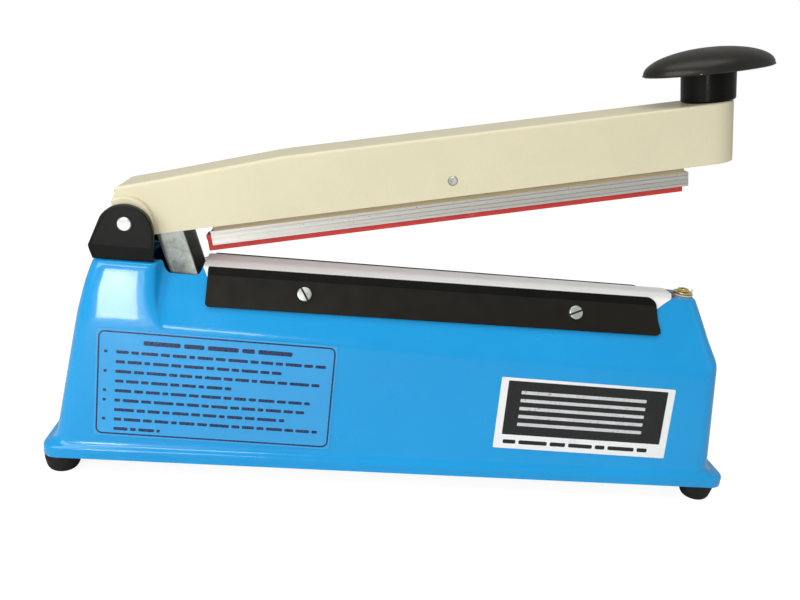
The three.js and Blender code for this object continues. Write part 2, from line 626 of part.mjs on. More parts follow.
add('return_spring', returnSpring(), 'steel');
add('spring_anchor', acrossY(polygon([[ANCHOR_X, PLATE.thickness + GAP], [ANCHOR_X + 18, PLATE.thickness + GAP],
  [ANCHOR_X + 18, PLATE.thickness + GAP + 2], [ANCHOR_X + 2, PLATE.thickness + GAP + 2],
  [ANCHOR_X + 2, SPRING.z + 7], [ANCHOR_X, SPRING.z + 7]]), 7), 'steel');

// ---- microswitch ----

const SWITCH = { x0: -174, x1: -158, z0: 40, z1: 68, half: 5, pivotX: -156, pivotZ: 42.5 };
add('micro_switch', join(box(SWITCH.x0, SWITCH.x1, -SWITCH.half, SWITCH.half, SWITCH.z0, SWITCH.z1),
  box(SWITCH.x1 - 1, SWITCH.x1 + 1.2, -1.5, 1.5, 58, 61)), 'plastic');
add('switch_bracket', join(
  box(SWITCH_BRACKET.x0, SWITCH_BRACKET.x1, SWITCH_BRACKET.y, SWITCH_BRACKET.y + 1.5, PLATE.thickness + GAP, 70),
  box(SWITCH_BRACKET.x0, SWITCH_BRACKET.x1, SWITCH_BRACKET.y, SWITCH_BRACKET.footY,
    PLATE.thickness + GAP, PLATE.thickness + GAP + 1.5)), 'steel');

function switchLever() {
  const blade = box(-0.4, 0.4, -2.4, 2.4, 0, 27);
  return blade.rotateY(THREE.MathUtils.degToRad(14)).translate(SWITCH.pivotX, 0, SWITCH.pivotZ);
}

add('switch_lever', switchLever(), 'steel');

// ---- transformer ----

// Stack of E and I plates with a winding window on each side of the middle leg.
function transformerCore() {
  const t = TRANSFORMER;
  const near = t.leg / 2;
  const far = near + t.window;
  const tall = t.height / 2 - near;
  const block = box(-t.width / 2, t.width / 2, -t.stack / 2, t.stack / 2, -t.height / 2, t.height / 2);
  const windows = [[near, far], [-far, -near]].map(([x0, x1]) => box(x0, x1, -t.stack, t.stack, -tall, tall));
  return cut(block, ...windows).translate(t.x, 0, t.z);
}

function transformerCoil() {
  const t = TRANSFORMER;
  const inner = { x: t.leg / 2 + GAP, y: t.stack / 2 + GAP };
  const outer = { x: t.leg / 2 + t.window - GAP, y: t.stack / 2 + t.coil };
  const tall = t.height / 2 - t.leg / 2 - GAP;
  return cut(box(-outer.x, outer.x, -outer.y, outer.y, -tall, tall),
    box(-inner.x, inner.x, -inner.y, inner.y, -tall - 1, tall + 1)).translate(t.x, 0, t.z);
}

function transformerStrap() {
  const t = TRANSFORMER;
  const low = PLATE.thickness + GAP;
  const side = t.width / 2 + GAP;
  const top = t.z + t.height / 2 + GAP;
  const half = [[side + 18, low], [side + 18, low + 1.6], [side + 1.6, low + 1.6], [side + 1.6, top + 1.6]];
  const inner = [[side, top], [side, low]];
  const points = [...half, ...half.map(([x, z]) => [-x, z]).reverse(), [-side, low], [-side, top], ...inner];
  return cut(acrossY(polygon(points), 12).translate(t.x, 0, 0),
    ...TRANSFORMER_FEET.map((x) => bar(2.4, 0, 6, 12).translate(x, 0, 0)));
}

add('transformer_core', transformerCore(), 'steel');
add('transformer_coil', transformerCoil(), 'copper');
add('transformer_strap', transformerStrap(), 'zinc');
for (const [side, x] of [['left', TRANSFORMER_FEET[0]], ['right', TRANSFORMER_FEET[1]]]) {
  const screw = join(bar(3.6, -2, -SHEET_GAP, 16), bar(1.9, -1, 7, 12));
  add(`transformer_screw_${side}`, screw.translate(x, 0, 0), 'zinc');
}

// Secondary leads from the coil to the two terminals.
add('lead_left', wire([[62, 23, 56.5], [58, 22, 70], [20, 17, 86], [-60, 14, 95], [-104, 8, 99],
  [-112.5, 3, 104], [-113.6, 0, 107]], 1.5, 24), 'white');
add('lead_right', wire([[76, 23, 56.5], [80, 22, 70], [120, 16, 86], [165, 7, 98], [182, 2, 103],
  [TERMINAL_X, 0, 108]], 1.5, 22), 'white');

// ---- rear panel: timer, lamp, fuse, cord entry ----

const panel = new THREE.Group();
panel.position.set(0, wallHalfWidth(PANEL.z), PANEL.z);
panel.rotation.x = DRAFT;
model.add(panel);

// The board with its smoothing capacitor soldered in.
add('circuit_board', join(box(-105, -14, -17.2, -15.6, -24, 22),
  barY(6, -32, -17, 20).translate(-52, 0, -12)), 'board', panel);
add('potentiometer', turnedY([[0, -15.4], [8.5, -15.4], [8.5, -7], [3.4, -7], [3.4, 1.6], [3.15, 1.6], [3.15, -12],
  [0, -12]]).translate(PANEL.knobX, 0, 0), 'steel', panel);
add('timer_shaft', barY(2.8, -11.6, 11, 16).translate(PANEL.knobX, 0, 0), 'steel', panel);
add('dial_plate', upZ(withHole(roundedRectangle(-23, 23, -23, 23, 4), 0, 0, 3.8), 0, 0.6)
  .rotateX(Math.PI / 2).translate(PANEL.knobX, 0.7, 0), 'aluminium', panel);

function timerKnob() {
  const outline = new THREE.Shape();
  const flutes = 12;
  for (let i = 0; i < flutes * 4; i += 1) {
    const a = (i / (flutes * 4)) * Math.PI * 2;
    const r = i % 4 === 0 ? 12.2 : 13;
    const p = [r * Math.cos(a), r * Math.sin(a)];
    if (i === 0) outline.moveTo(...p);
    else outline.lineTo(...p);
  }
  const grip = upZ(outline, 0, 11).rotateX(-Math.PI / 2).translate(0, 4, 0);
  const skirt = turnedY([[0, 1.9], [16, 1.9], [15.4, 4.6], [0, 4.6]], 32);
  const pointer = box(-0.8, 0.8, 14.5, 15.8, 2, 12);
  return cut(join(grip, skirt, pointer), barY(3.1, 0, 12, 16)).translate(PANEL.knobX, 0, 0);
}

add('timer_knob', timerKnob(), 'plastic', panel);
add('signal_lamp', turnedY([[0, -12], [3.9, -12], [3.9, 0.3], [5.6, 0.3], [5.6, 1.4], [4.2, 1.6], [3.4, 4],
  [1.6, 5.6], [0, 6]]).translate(PANEL.lampX, 0, 8), 'lamp', panel);
add('fuse_holder', turnedY([[0, -26], [5.6, -26], [5.6, 0.3], [7.6, 0.3], [7.6, 2.2], [6.2, 2.4], [6, 9],
  [0, 9]]).translate(PANEL.fuseX, 0, -6), 'plastic', panel);
add('cord_grommet', turnedY([[3.8, -5], [8.4, -5], [8.4, -2.4], [6.1, -2.4], [6.1, 0.3], [8.4, 0.3], [8, 4], [5, 9],
  [3.8, 9], [3.8, -5]]).translate(PANEL.cordX, 0, 26 - PANEL.z), 'rubber', panel);
add('relay', box(-100, -80, -30, -17.4, -18, -2), 'plastic', panel);
add('buzzer', barY(6.5, -26, -17.4, 20).translate(-34, 0, -14), 'plastic', panel);

// ---- labels on the front wall ----

const front = new THREE.Group();
front.position.set(0, -wallHalfWidth(PANEL.z), PANEL.z);
front.rotation.x = -DRAFT;
model.add(front);

const LABEL_TILT = THREE.MathUtils.degToRad(0.9);

function label(width, height, x, z) {
  return new THREE.BoxGeometry(width, 0.2, height).translate(width / 2, 0, -height / 2)
    .rotateY(LABEL_TILT).translate(x, -0.25, z - PANEL.z);
}

add('instruction_label', label(145.6, 68.4, -190.1, 84), 'label', front);
add('name_label', label(116.6, 48, 61, 68.6), 'white', front);

export default model;
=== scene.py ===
"""Looks of a hand-operated impulse heat sealer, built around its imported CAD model.

Lengths are in millimetres in the CAD model's frame, unless a name or a comment says otherwise.
X runs along the sealing line away from the hinge, -Y is the operator's side and Z is up.
"""
import json
import math

import bmesh
import bpy
from mathutils import Matrix, Vector


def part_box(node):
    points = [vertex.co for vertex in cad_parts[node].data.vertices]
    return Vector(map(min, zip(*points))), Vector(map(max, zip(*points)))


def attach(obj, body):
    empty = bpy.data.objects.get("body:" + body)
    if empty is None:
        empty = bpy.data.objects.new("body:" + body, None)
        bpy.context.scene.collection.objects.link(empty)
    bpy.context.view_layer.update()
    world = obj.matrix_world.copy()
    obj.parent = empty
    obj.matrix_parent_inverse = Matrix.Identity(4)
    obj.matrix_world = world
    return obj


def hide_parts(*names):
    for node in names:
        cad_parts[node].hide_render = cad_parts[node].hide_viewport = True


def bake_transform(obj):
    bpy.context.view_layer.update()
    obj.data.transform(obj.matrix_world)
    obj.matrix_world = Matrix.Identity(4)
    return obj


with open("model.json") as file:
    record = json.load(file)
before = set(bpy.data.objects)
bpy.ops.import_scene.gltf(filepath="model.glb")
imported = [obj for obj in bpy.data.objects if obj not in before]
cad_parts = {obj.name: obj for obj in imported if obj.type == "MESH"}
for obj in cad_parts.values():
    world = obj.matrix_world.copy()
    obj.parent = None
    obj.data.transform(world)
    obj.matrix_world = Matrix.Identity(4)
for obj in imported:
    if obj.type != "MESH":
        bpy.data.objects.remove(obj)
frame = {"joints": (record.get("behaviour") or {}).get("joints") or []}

for start_up in ("Cube", "Light", "Camera"):
    if start_up in bpy.data.objects:
        bpy.data.objects.remove(bpy.data.objects[start_up])
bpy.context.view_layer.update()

MM = 0.001


# ---- places taken from the frame ----

def box_of(node):
    """Lowest and highest corner of a CAD node, in millimetres."""
    low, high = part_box(node)
    return low / MM, high / MM


def joint(name):
    """Pivot of a joint, in millimetres."""
    found = next(j for j in frame["joints"] if j["name"] == name)
    return Vector(found["pos_m"]) / MM


DRAFT = math.radians(6.5)  # lean of the long side walls
REST_ANGLE = math.radians(12)  # slope of the open arm
PIVOT = joint("arm_hinge")
ROCKER = joint("press_bar_rock")
HUMP_TOP = box_of("body_shell")[1].z
TOP_Z = HUMP_TOP - 3  # the ridge that carries the sealing bed
GAP = 0.12  # left between pieces that would touch
ARM_PLACE = Matrix.Translation(PIVOT) @ Matrix.Rotation(-REST_ANGLE, 4, "Y")  # from [u, y, v] on the arm


# ---- numbers and outlines ----

def lerp(a, b, t):
    return a + (b - a) * t


def ease(t):
    t = min(max(t, 0.0), 1.0)
    return t * t * (3 - 2 * t)


def spread(a, b, count):
    """count numbers from a to b."""
    return [lerp(a, b, i / (count - 1)) for i in range(count)]


def soften(points, reach, steps=4, closed=False, between=None):
    """A polyline with each corner turned into a curve that starts and ends reach away from it.
    between gives how many pieces each straight stretch is divided into."""
    points = [Vector(p) for p in points]
    last = len(points) - 1
    reaches = reach if isinstance(reach, (list, tuple)) else [reach] * len(points)
    out = []
    for i, corner in enumerate(points):
        if not closed and i in (0, last):
            out.append([corner])
            continue
        before, after = points[i - 1], points[(i + 1) % len(points)]
        a = corner + (before - corner).normalized() * min(reaches[i], (before - corner).length * 0.49)
        b = corner + (after - corner).normalized() * min(reaches[i], (after - corner).length * 0.49)
        if reaches[i] <= 0:
            out.append([corner])
            continue
        out.append([a * (1 - t) ** 2 + corner * 2 * t * (1 - t) + b * t * t for t in spread(0, 1, steps + 1)])
    line = []
    for i, stretch in enumerate(out):
        line += stretch
        count = between[i] if between and i < len(between) else 1
        if count > 1:
            start, end = stretch[-1], out[(i + 1) % len(out)][0]
            line += [start.lerp(end, j / count) for j in range(1, count)]
    return line


def round_angles(count):
    """count angles in radians, evenly round a circle."""
    return [2 * math.pi * i / count for i in range(count)]


def raised(outline, z):
    """A flat outline at a level."""
    return [Vector((p.x, p.y, z)) for p in outline]


def arc(x, y, radius, start, end, count):
    """Points on an arc, angles in degrees."""
    angles = [math.radians(a) for a in spread(start, end, count)]
    return [Vector((x + radius * math.cos(a), y + radius * math.sin(a))) for a in angles]


def rectangle(x0, x1, y0, y1, radius, count=6):
    """A rounded rectangle, anticlockwise."""
    r = radius
    corners = ((x1 - r, y0 + r, -90), (x1 - r, y1 - r, 0), (x0 + r, y1 - r, 90), (x0 + r, y0 + r, 180))
    return [p for x, y, start in corners for p in arc(x, y, r, start, start + 90, count)]


def inset(outline, distance):
    """A closed anticlockwise outline moved inwards by the distance."""
    out = []
    for i, here in enumerate(outline):
        before = (here - outline[i - 1]).normalized()
        after = (outline[(i + 1) % len(outline)] - here).normalized()
        inward = Vector((-(before.y + after.y), before.x + after.x))
        stretch = max(0.5, (1 + before.dot(after)) / 2) ** 0.5
        out.append(here + inward.normalized() * distance / stretch)
    return out


# ---- meshes ----

class Shape:
    """Points in millimetres and faces, each face with the number of its material."""

    def __init__(self, points, faces, inks=None):
        self.points = [Vector(p) for p in points]
        self.faces = list(faces)
        self.inks = inks or [0] * len(self.faces)

    def __add__(self, other):
        start = len(self.points)
        faces = self.faces + [[i + start for i in face] for face in other.faces]
        return Shape(self.points + other.points, faces, self.inks + other.inks)

    def moved(self, matrix):
        return Shape([matrix @ p for p in self.points], self.faces, self.inks)

    def shifted(self, x, y, z):
        return self.moved(shift(x, y, z))

    def inked(self, ink):
        return Shape(self.points, self.faces, [ink] * len(self.faces))


def skin(rings, ends=True, wrap=False, open_rings=False):
    """Quads between neighbouring rings of equal counts. ends fills the first and last ring in, wrap joins them
    to each other, and open_rings leaves each ring's last point apart from its first."""
    count = len(rings[0])
    points = [p for ring in rings for p in ring]
    faces = []
    for r in range(len(rings) - (0 if wrap else 1)):
        below, above = r * count, ((r + 1) % len(rings)) * count
        for i in range(count - 1 if open_rings else count):
            j = (i + 1) % count
            faces.append([below + i, below + j, above + j, above + i])
    if ends:
        faces.append(list(range(count))[::-1])
        faces.append([(len(rings) - 1) * count + i for i in range(count)])
    return Shape(points, faces)


def lathe(profile, sides=48):
    """A turned piece about Z from [radius, z] points. A profile off the axis at both ends makes a ring."""
    full = all(abs(profile[i][0]) < 1e-6 for i in (0, -1))
    kept = profile[1:-1] if full else profile
    rings = [[Vector((r * math.cos(a), r * math.sin(a), z)) for a in round_angles(sides)] for r, z in kept]
    if not full:
        return skin(rings, ends=False, wrap=True)
    shape = skin(rings, ends=False)
    for pole, ring, flip in ((profile[0], 0, True), (profile[-1], len(rings) - 1, False)):
        top = len(shape.points)
        shape.points.append(Vector((0, 0, pole[1])))
        for i in range(sides):
            a, b = ring * sides + i, ring * sides + (i + 1) % sides
            shape.faces.append([b, a, top] if flip else [a, b, top])
            shape.inks.append(0)
    return shape


def slab(outline, z0, z1, edge=0.4, steps=3):
    """An outline extruded along Z with rounded rims."""
    rings = []
    for angle in spread(0, 90, steps + 1):
        a = math.radians(angle)
        rings.append((edge * (1 - math.sin(a)), z0 + edge * (1 - math.cos(a))))
    rings += [(shrink, z0 + z1 - z) for shrink, z in reversed(rings)]
    return skin([raised(inset(outline, shrink), z) for shrink, z in rings])


def rod(radius, z0, z1, edge=0.3, sides=48):
    """A round bar along Z with rounded ends."""
    profile = soften([(0, z0), (radius, z0), (radius, z1), (0, z1)], edge, 3)
    return lathe(profile, sides)


def block(x0, x1, y0, y1, z0, z1, edge=0.4):
    """A box with every edge rounded."""
    flat = rectangle(x0, x1, y0, y1, min(edge * 1.5, (x1 - x0) / 2.2, (y1 - y0) / 2.2), 4)
    return slab(flat, z0, z1, edge)


def shift(x, y, z):
    return Matrix.Translation((x, y, z))


def rotation(degrees, axis):
    return Matrix.Rotation(math.radians(degrees), 4, axis)


HERE = Matrix.Identity(4)
ALONG_Y = rotation(-90, "X")  # turns +Z to +Y
ALONG_X = rotation(90, "Y")  # turns +Z to +X
UPRIGHT = rotation(90, "X")  # turns a drawing in XY to XZ, and +Z to -Y
# turns a drawing in XY to YZ, and +Z to +X
LENGTHWISE = Matrix(((0, 0, 1, 0), (1, 0, 0, 0), (0, 1, 0, 0), (0, 0, 0, 1)))


def side_slab(outline, y0, y1, edge):
    """An outline drawn in X and Z, extruded along Y."""
    return slab(outline, -y1, -y0, edge).moved(UPRIGHT)


def extrusion(section, x0, x1, edge):
    """A section drawn in Y and Z, extruded along X."""
    return slab(section, x0, x1, edge).moved(LENGTHWISE)


def points(*pairs):
    return [Vector(pair) for pair in pairs]


def through(knots, steps):
    """A smooth 3-D curve through the knots, with so many steps between neighbours."""
    knots = [Vector(k) for k in knots]
    out = []
    for i in range(len(knots) - 1):
        a, b = knots[max(i - 1, 0)], knots[i]
        c, d = knots[i + 1], knots[min(i + 2, len(knots) - 1)]
        for t in spread(0, 1, steps + 1)[:-1]:
            out.append(0.5 * (2 * b + (c - a) * t + (2 * a - 5 * b + 4 * c - d) * t ** 2
                              + (3 * b - a - 3 * c + d) * t ** 3))
    return out + [knots[-1]]


def measured(path, count, skip_start, skip_end):
    """count points evenly along a polyline, leaving out a length at each end."""
    lengths = [0.0]
    for a, b in zip(path, path[1:]):
        lengths.append(lengths[-1] + (b - a).length)
    out = []
    for goal in spread(skip_start, lengths[-1] - skip_end, count):
        i = max(1, next((k for k, length in enumerate(lengths) if length >= goal), len(path) - 1))
        out.append(path[i - 1].lerp(path[i], (goal - lengths[i - 1]) / max(lengths[i] - lengths[i - 1],
                                                                           1e-9)))
    return out


def thread(radius, z0, z1, pitch=0.8):
    """[radius, z] points of a threaded shank, its thread drawn as rings."""
    count = max(1, round((z1 - z0) / pitch))
    out = []
    for i in range(count):
        low = lerp(z0, z1, i / count)
        out += [(radius - 0.3, low), (radius, low + pitch / 2)]
    return out


def screw(head_radius, head, shank_radius, length, dome=0.4):
    """A screw with its head on Z = 0 and its shank below."""
    crown = soften([(head_radius, 0.25), (head_radius, head - dome), (0, head)], [0, head_radius * 0.16, 0],
                   4)
    shank = thread(shank_radius, -length, -0.2)
    return lathe([(0, -length - 0.3), *shank, (shank_radius - 0.1, 0), (head_radius - 0.25, 0),
                  *crown], 40)


def slot_cut(reach, head, depth, width, angle=0.0):
    """The driver slot of a screw whose head is that high; its faces get ink 1, the painted shade in the slot."""
    return block(-reach, reach, -width / 2, width / 2, head - depth, head + 2, 0.05).inked(1).moved(
        rotation(angle, "Z"))


def cross_cut(reach, head, depth, width):
    """The driver cross of a screw."""
    return [slot_cut(reach, head, depth, width, angle) for angle in (0, 90)]


def tube(path, radius, sides):
    """A round tube along 3-D points, its section carried along without twist."""
    points = [Vector(p) for p in path]
    rings = []
    side = None
    for i, p in enumerate(points):
        along = (points[min(i + 1, len(points) - 1)] - points[max(i - 1, 0)]).normalized()
        if side is None:
            side = along.orthogonal().normalized()
        side = (side - along * side.dot(along)).normalized()
        other = along.cross(side)
        rings.append([p + (side * math.cos(a) + other * math.sin(a)) * radius
                      for a in round_angles(sides)])
    return skin(rings)


def build(name, shape):
    """A Blender object in metres from a shape in millimetres."""
    mesh = bpy.data.meshes.new(name)
    mesh.from_pydata([p * MM for p in shape.points], [], shape.faces)
    mesh.polygons.foreach_set("material_index", shape.inks)
    made = bpy.data.objects.new(name, mesh)
    bpy.context.scene.collection.objects.link(made)
    work = bmesh.new()
    work.from_mesh(mesh)
    bmesh.ops.recalc_face_normals(work, faces=work.faces)
    middle = sum((f.calc_center_median() for f in work.faces), Vector()) / len(work.faces)
    if sum(f.normal.dot(f.calc_center_median() - middle) * f.calc_area() for f in work.faces) < 0:
        bmesh.ops.reverse_faces(work, faces=work.faces)  # an open sheet has no inside of its own
    work.to_mesh(mesh)
    work.free()
    return made


def settle(made):
    """Applies every modifier of an object to its mesh."""
    shown = made.evaluated_get(bpy.context.evaluated_depsgraph_get())
    mesh = bpy.data.meshes.new_from_object(shown)
    made.modifiers.clear()
    made.data = mesh


def combine(made, shapes, operation):
    """Joins shapes to an object or cuts them out of it. The new faces keep the shapes' inks."""
    for number, shape in enumerate(shapes):
        tool = build(f"{made.name}_tool_{number}", shape)
        for finish in made.data.materials:
            tool.data.materials.append(finish)
        step = made.modifiers.new("combine", "BOOLEAN")
        step.operation, step.solver, step.object = operation, "EXACT", tool
        settle(made)
        bpy.data.objects.remove(tool)


def round_edges(made, width, limit=35):
    """Rounds the sharp edges of an object by a width in millimetres."""
    step = made.modifiers.new("round_edges", "BEVEL")
    step.width, step.segments = width * MM, 2
    step.limit_method, step.angle_limit = "ANGLE", math.radians(limit)
    step.harden_normals = True


def piece(name, shape, body, finish, stands_for=None, joined=(), cuts=(), at=HERE, edge=0.0, sharp=38):
    """A finished piece: built, moved by at, joined and cut, smoothed, painted and put on its body. edge
    rounds the edges that the shape leaves sharp."""
    made = build(name, shape.moved(at))
    paint(made, finish)
    combine(made, [other.moved(at) for other in joined], "UNION")
    combine(made, [other.moved(at) for other in cuts], "DIFFERENCE")
    return dress(made, body, finish, stands_for, edge, sharp)


def paint(made, finish):
    """Gives an object one finish, or a list of them for its inks."""
    finishes = finish if isinstance(finish, list) else [finish]
    inks = [face.material_index for face in made.data.polygons]
    made.data.materials.clear()
    for one in finishes:
        made.data.materials.append(one)
    if len(finishes) > 1:
        made.data.polygons.foreach_set("material_index", inks)


def dress(made, body, finish, stands_for=None, edge=0.0, sharp=38):
    """Smooths, paints and places an object whose mesh is done."""
    mesh = made.data
    mesh.polygons.foreach_set("use_smooth", [True] * len(mesh.polygons))
    if edge:
        round_edges(made, edge)
    else:
        mesh.set_sharp_from_angle(angle=math.radians(sharp))
    step = made.modifiers.new("even_normals", "WEIGHTED_NORMAL")
    step.keep_sharp, step.weight = True, 80
    paint(made, finish)
    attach(made, body)
    for node in [stands_for] if isinstance(stands_for, str) else stands_for or []:
        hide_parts(node)
    return made


def keep(node, finish, edge=0.3):
    """Paints a CAD node that shows as it is, and rounds its edges."""
    made = bpy.data.objects[node]
    mesh = made.data
    for name in ("custom_normal", "sharp_edge", "sharp_face"):
        if name in mesh.attributes:
            mesh.attributes.remove(mesh.attributes[name])
    mesh.polygons.foreach_set("use_smooth", [True] * len(mesh.polygons))
    made.modifiers.new("weld", "WELD").merge_threshold = 1e-5
    round_edges(made, edge)
    made.modifiers.new("even_normals", "WEIGHTED_NORMAL").keep_sharp = True
    mesh.materials.clear()
    mesh.materials.append(finish)


# ---- materials ----

def srgb(*values):
    """Linear colour from 0-255 screen values."""
    share = [v / 255 for v in values]
    return [v / 12.92 if v <= 0.04045 else ((v + 0.055) / 1.055) ** 2.4 for v in share] + [1.0]


class Tree:
    """The node tree of one material, with its Principled shader."""

    def __init__(self, name):
        self.material = bpy.data.materials.new(name)
        self.material.use_nodes = True
        self.nodes = self.material.node_tree.nodes
        self.shader = self.nodes["Principled BSDF"]

    def add(self, kind, inputs=None, **settings):
        """A new node; inputs maps socket names or numbers to values or to other nodes' outputs."""
        node = self.nodes.new("ShaderNode" + kind)
        for key, value in settings.items():
            setattr(node, key, value)
        for key, value in (inputs or {}).items():
            self.set(node.inputs[key], value)
        return node

    def set(self, socket, value):
        if isinstance(value, bpy.types.NodeSocket):
            self.material.node_tree.links.new(value, socket)
        else:
            socket.default_value = value

    def place(self, stretch=(1, 1, 1), slope=0.0):
        """Object coordinates in metres, turned so that X runs up the slope, and then scaled by stretch."""
        where = self.add("TexCoord").outputs["Object"]
        level = self.add("Mapping", {"Vector": where, "Rotation": (0, slope, 0)}).outputs["Vector"]
        return self.add("Mapping", {"Vector": level, "Scale": stretch}).outputs["Vector"]

    def noise(self, where, scale, detail=3.0, roughness=0.5):
        return self.add("TexNoise", {"Vector": where, "Scale": scale, "Detail": detail,
                                     "Roughness": roughness}).outputs["Fac"]

    def mapped(self, value, low, high, to_low=0.0, to_high=1.0):
        return self.add("MapRange", {"Value": value, "From Min": low, "From Max": high, "To Min": to_low,
                                     "To Max": to_high}).outputs["Result"]

    def maths(self, operation, *values):
        return self.add("Math", dict(enumerate(values)), operation=operation).outputs[0]

    def mix(self, share, a, b):
        node = self.add("Mix", data_type="RGBA")
        for socket, value in zip((node.inputs[0], node.inputs[6], node.inputs[7]), (share, a, b)):
            self.set(socket, value)
        return node.outputs[2]

    def bump(self, height, distance, normal=None):
        inputs = {"Height": height, "Distance": distance * MM, "Strength": 1.0}
        if normal is not None:
            inputs["Normal"] = normal
        return self.add("Bump", inputs).outputs["Normal"]


def surface(name, colour, rough, tone=(0.08, 30), rough_spread=0.06, grain=(0.02, 900), wave=None,
            stretch=(1, 1, 1), slope=0.0, wear=None, dirt=None, **sockets):
    """A procedural finish. tone is the share by which the colour drifts, and its scale. grain and wave are bumps,
    each with its height in millimetres and its scale. wear is the colour of worn edges, how sharp an edge has to
    be to wear, and the scale of the chips. dirt is a colour that gathers in patches, their scale, and the range
    of noise that they show in."""
    tree = Tree(name)
    where = tree.place(stretch, slope)
    even = tree.place()
    share, drift_scale = tone
    drift = tree.noise(where, drift_scale, 4)
    dark = [c * (1 - share) for c in colour[:3]] + [1.0]
    light = [min(1.0, c * (1 + share)) for c in colour[:3]] + [1.0]
    paint = tree.mix(tree.mapped(drift, 0.3, 0.7), dark, light)
    if dirt:
        dirt_colour, dirt_scale, low, high = dirt
        patch = tree.noise(even, dirt_scale, 6, 0.65)
        paint = tree.mix(tree.mapped(patch, low, high), paint, dirt_colour)
    roughness = tree.mapped(tree.noise(even, drift_scale * 4, 3), 0.3, 0.7, rough - rough_spread,
                            rough + rough_spread)
    if wear:
        worn, sharpness, chip_scale = wear
        edge = tree.mapped(tree.add("NewGeometry").outputs["Pointiness"], sharpness, sharpness + 0.03)
        chips = tree.mapped(tree.noise(even, chip_scale, 4, 0.6), 0.52, 0.6)
        paint = tree.mix(tree.maths("MULTIPLY", edge, chips), paint, worn)
    grain_height, grain_scale = grain
    normal = tree.bump(tree.noise(where, grain_scale, 2), grain_height)
    if wave:
        wave_height, wave_scale = wave
        normal = tree.bump(tree.noise(even, wave_scale, 2), wave_height, normal)
    tree.set(tree.shader.inputs["Base Color"], paint)
    tree.set(tree.shader.inputs["Roughness"], roughness)
    tree.set(tree.shader.inputs["Normal"], normal)
    for key, value in sockets.items():
        tree.set(tree.shader.inputs[key.replace("_", " ")], value)
    return tree.material


BLUE = surface("blue_enamel", srgb(0, 153, 219), 0.22, tone=(0.05, 9), grain=(0.06, 480), wave=(0.1, 60),
               wear=(srgb(214, 226, 230), 0.56, 420), Coat_Weight=0.35, Coat_Roughness=0.05,
               Specular_IOR_Level=0.4)
CREAM = surface("cream_enamel", srgb(222, 214, 182), 0.4, tone=(0.035, 14), grain=(0.17, 430),
                wave=(0.05, 160), dirt=(srgb(126, 108, 80), 70, 0.73, 0.76), Coat_Weight=0.2,
                Coat_Roughness=0.25, Specular_IOR_Level=0.4)
# painted shade: the arm's cream enamel darkened for the bar holder, which is seen in the arm's shadow
CREAM_SHADE = surface("cream_enamel_inner", srgb(196, 176, 138), 0.42, tone=(0.05, 20), grain=(0.04, 480))
SATIN_BLACK = surface("satin_black_plastic", srgb(12, 12, 9), 0.34, tone=(0.15, 60), grain=(0.05, 900),
                      Specular_IOR_Level=0.22)
KNOB_BLACK = surface("knob_plastic", srgb(28, 26, 18), 0.34, tone=(0.12, 40), grain=(0.008, 1100),
                     wave=(0.03, 90), wear=(srgb(176, 172, 160), 0.57, 700), Specular_IOR_Level=0.35)
STEM_BLACK = surface("glossy_stem", srgb(12, 12, 8), 0.22, tone=(0.12, 40), grain=(0.008, 900),
                     wave=(0.04, 90), Specular_IOR_Level=0.14)
PLATE_BLACK = surface("black_enamel_plate", srgb(22, 20, 13), 0.36, tone=(0.14, 25), grain=(0.012, 700),
                      wave=(0.03, 70), wear=(srgb(186, 178, 160), 0.54, 300), Specular_IOR_Level=0.25)
# painted shade: the clamp plates' black enamel made darker and duller for their bent upper band, standing in for
# the shade that band falls in
PLATE_BAND_SHADE = surface("black_enamel_band", srgb(10, 10, 8), 0.4, tone=(0.14, 25), grain=(0.012, 700),
                     Specular_IOR_Level=0.15)
RUBBER = surface("black_rubber", srgb(22, 22, 22), 0.75, tone=(0.2, 30), grain=(0.05, 1500),
                 dirt=(srgb(58, 56, 52), 300, 0.58, 0.75), Specular_IOR_Level=0.3)
SILICONE = surface("red_silicone", srgb(214, 62, 58), 0.5, tone=(0.08, 50), grain=(0.02, 1200),
                   dirt=(srgb(222, 96, 88), 120, 0.55, 0.8), Specular_IOR_Level=0.35)
ALUMINIUM = surface("drawn_aluminium", srgb(226, 224, 217), 0.32, tone=(0.13, 150), rough_spread=0.05,
                    grain=(0.002, 150), stretch=(0.02, 3.5, 3.5), slope=REST_ANGLE, Metallic=1.0)
ZINC = surface("zinc_plate", srgb(214, 216, 210), 0.34, tone=(0.06, 120), rough_spread=0.06,
               grain=(0.008, 1500), dirt=(srgb(176, 178, 168), 160, 0.56, 0.75), Metallic=0.9)
DULL_ZINC = surface("dull_zinc", srgb(184, 190, 182), 0.45, tone=(0.12, 60), rough_spread=0.1,
                    grain=(0.015, 900), dirt=(srgb(112, 118, 114), 45, 0.48, 0.7), Metallic=0.7)
STEEL = surface("plain_steel", srgb(150, 150, 148), 0.4, tone=(0.1, 60), grain=(0.012, 1200),
                dirt=(srgb(110, 104, 96), 150, 0.58, 0.75), Metallic=1.0)
BRASS = surface("nickelled_brass", srgb(222, 204, 146), 0.24, tone=(0.1, 120), grain=(0.01, 1600),
                dirt=(srgb(160, 136, 84), 300, 0.56, 0.74), Metallic=1.0)
NICHROME = surface("rolled_ribbon", srgb(150, 146, 140), 0.32, tone=(0.1, 90), grain=(0.006, 400),
                   stretch=(0.05, 6, 6), Metallic=1.0)
INSULATOR = surface("brown_laminate", srgb(142, 84, 50), 0.5, tone=(0.12, 60), grain=(0.02, 700),
                    stretch=(0.2, 3, 3))
MOULDED = surface("black_moulding", srgb(32, 33, 36), 0.42, tone=(0.15, 70), grain=(0.02, 1600),
                  wear=(srgb(90, 90, 92), 0.58, 500))
BOARD = surface("circuit_board", srgb(44, 104, 58), 0.4, tone=(0.16, 300), grain=(0.02, 900),
                dirt=(srgb(120, 140, 96), 420, 0.6, 0.66))
COPPER = surface("varnished_winding", srgb(150, 82, 44), 0.35, tone=(0.14, 80), grain=(0.12, 500),
                 stretch=(0.2, 0.2, 5), Metallic=0.6)
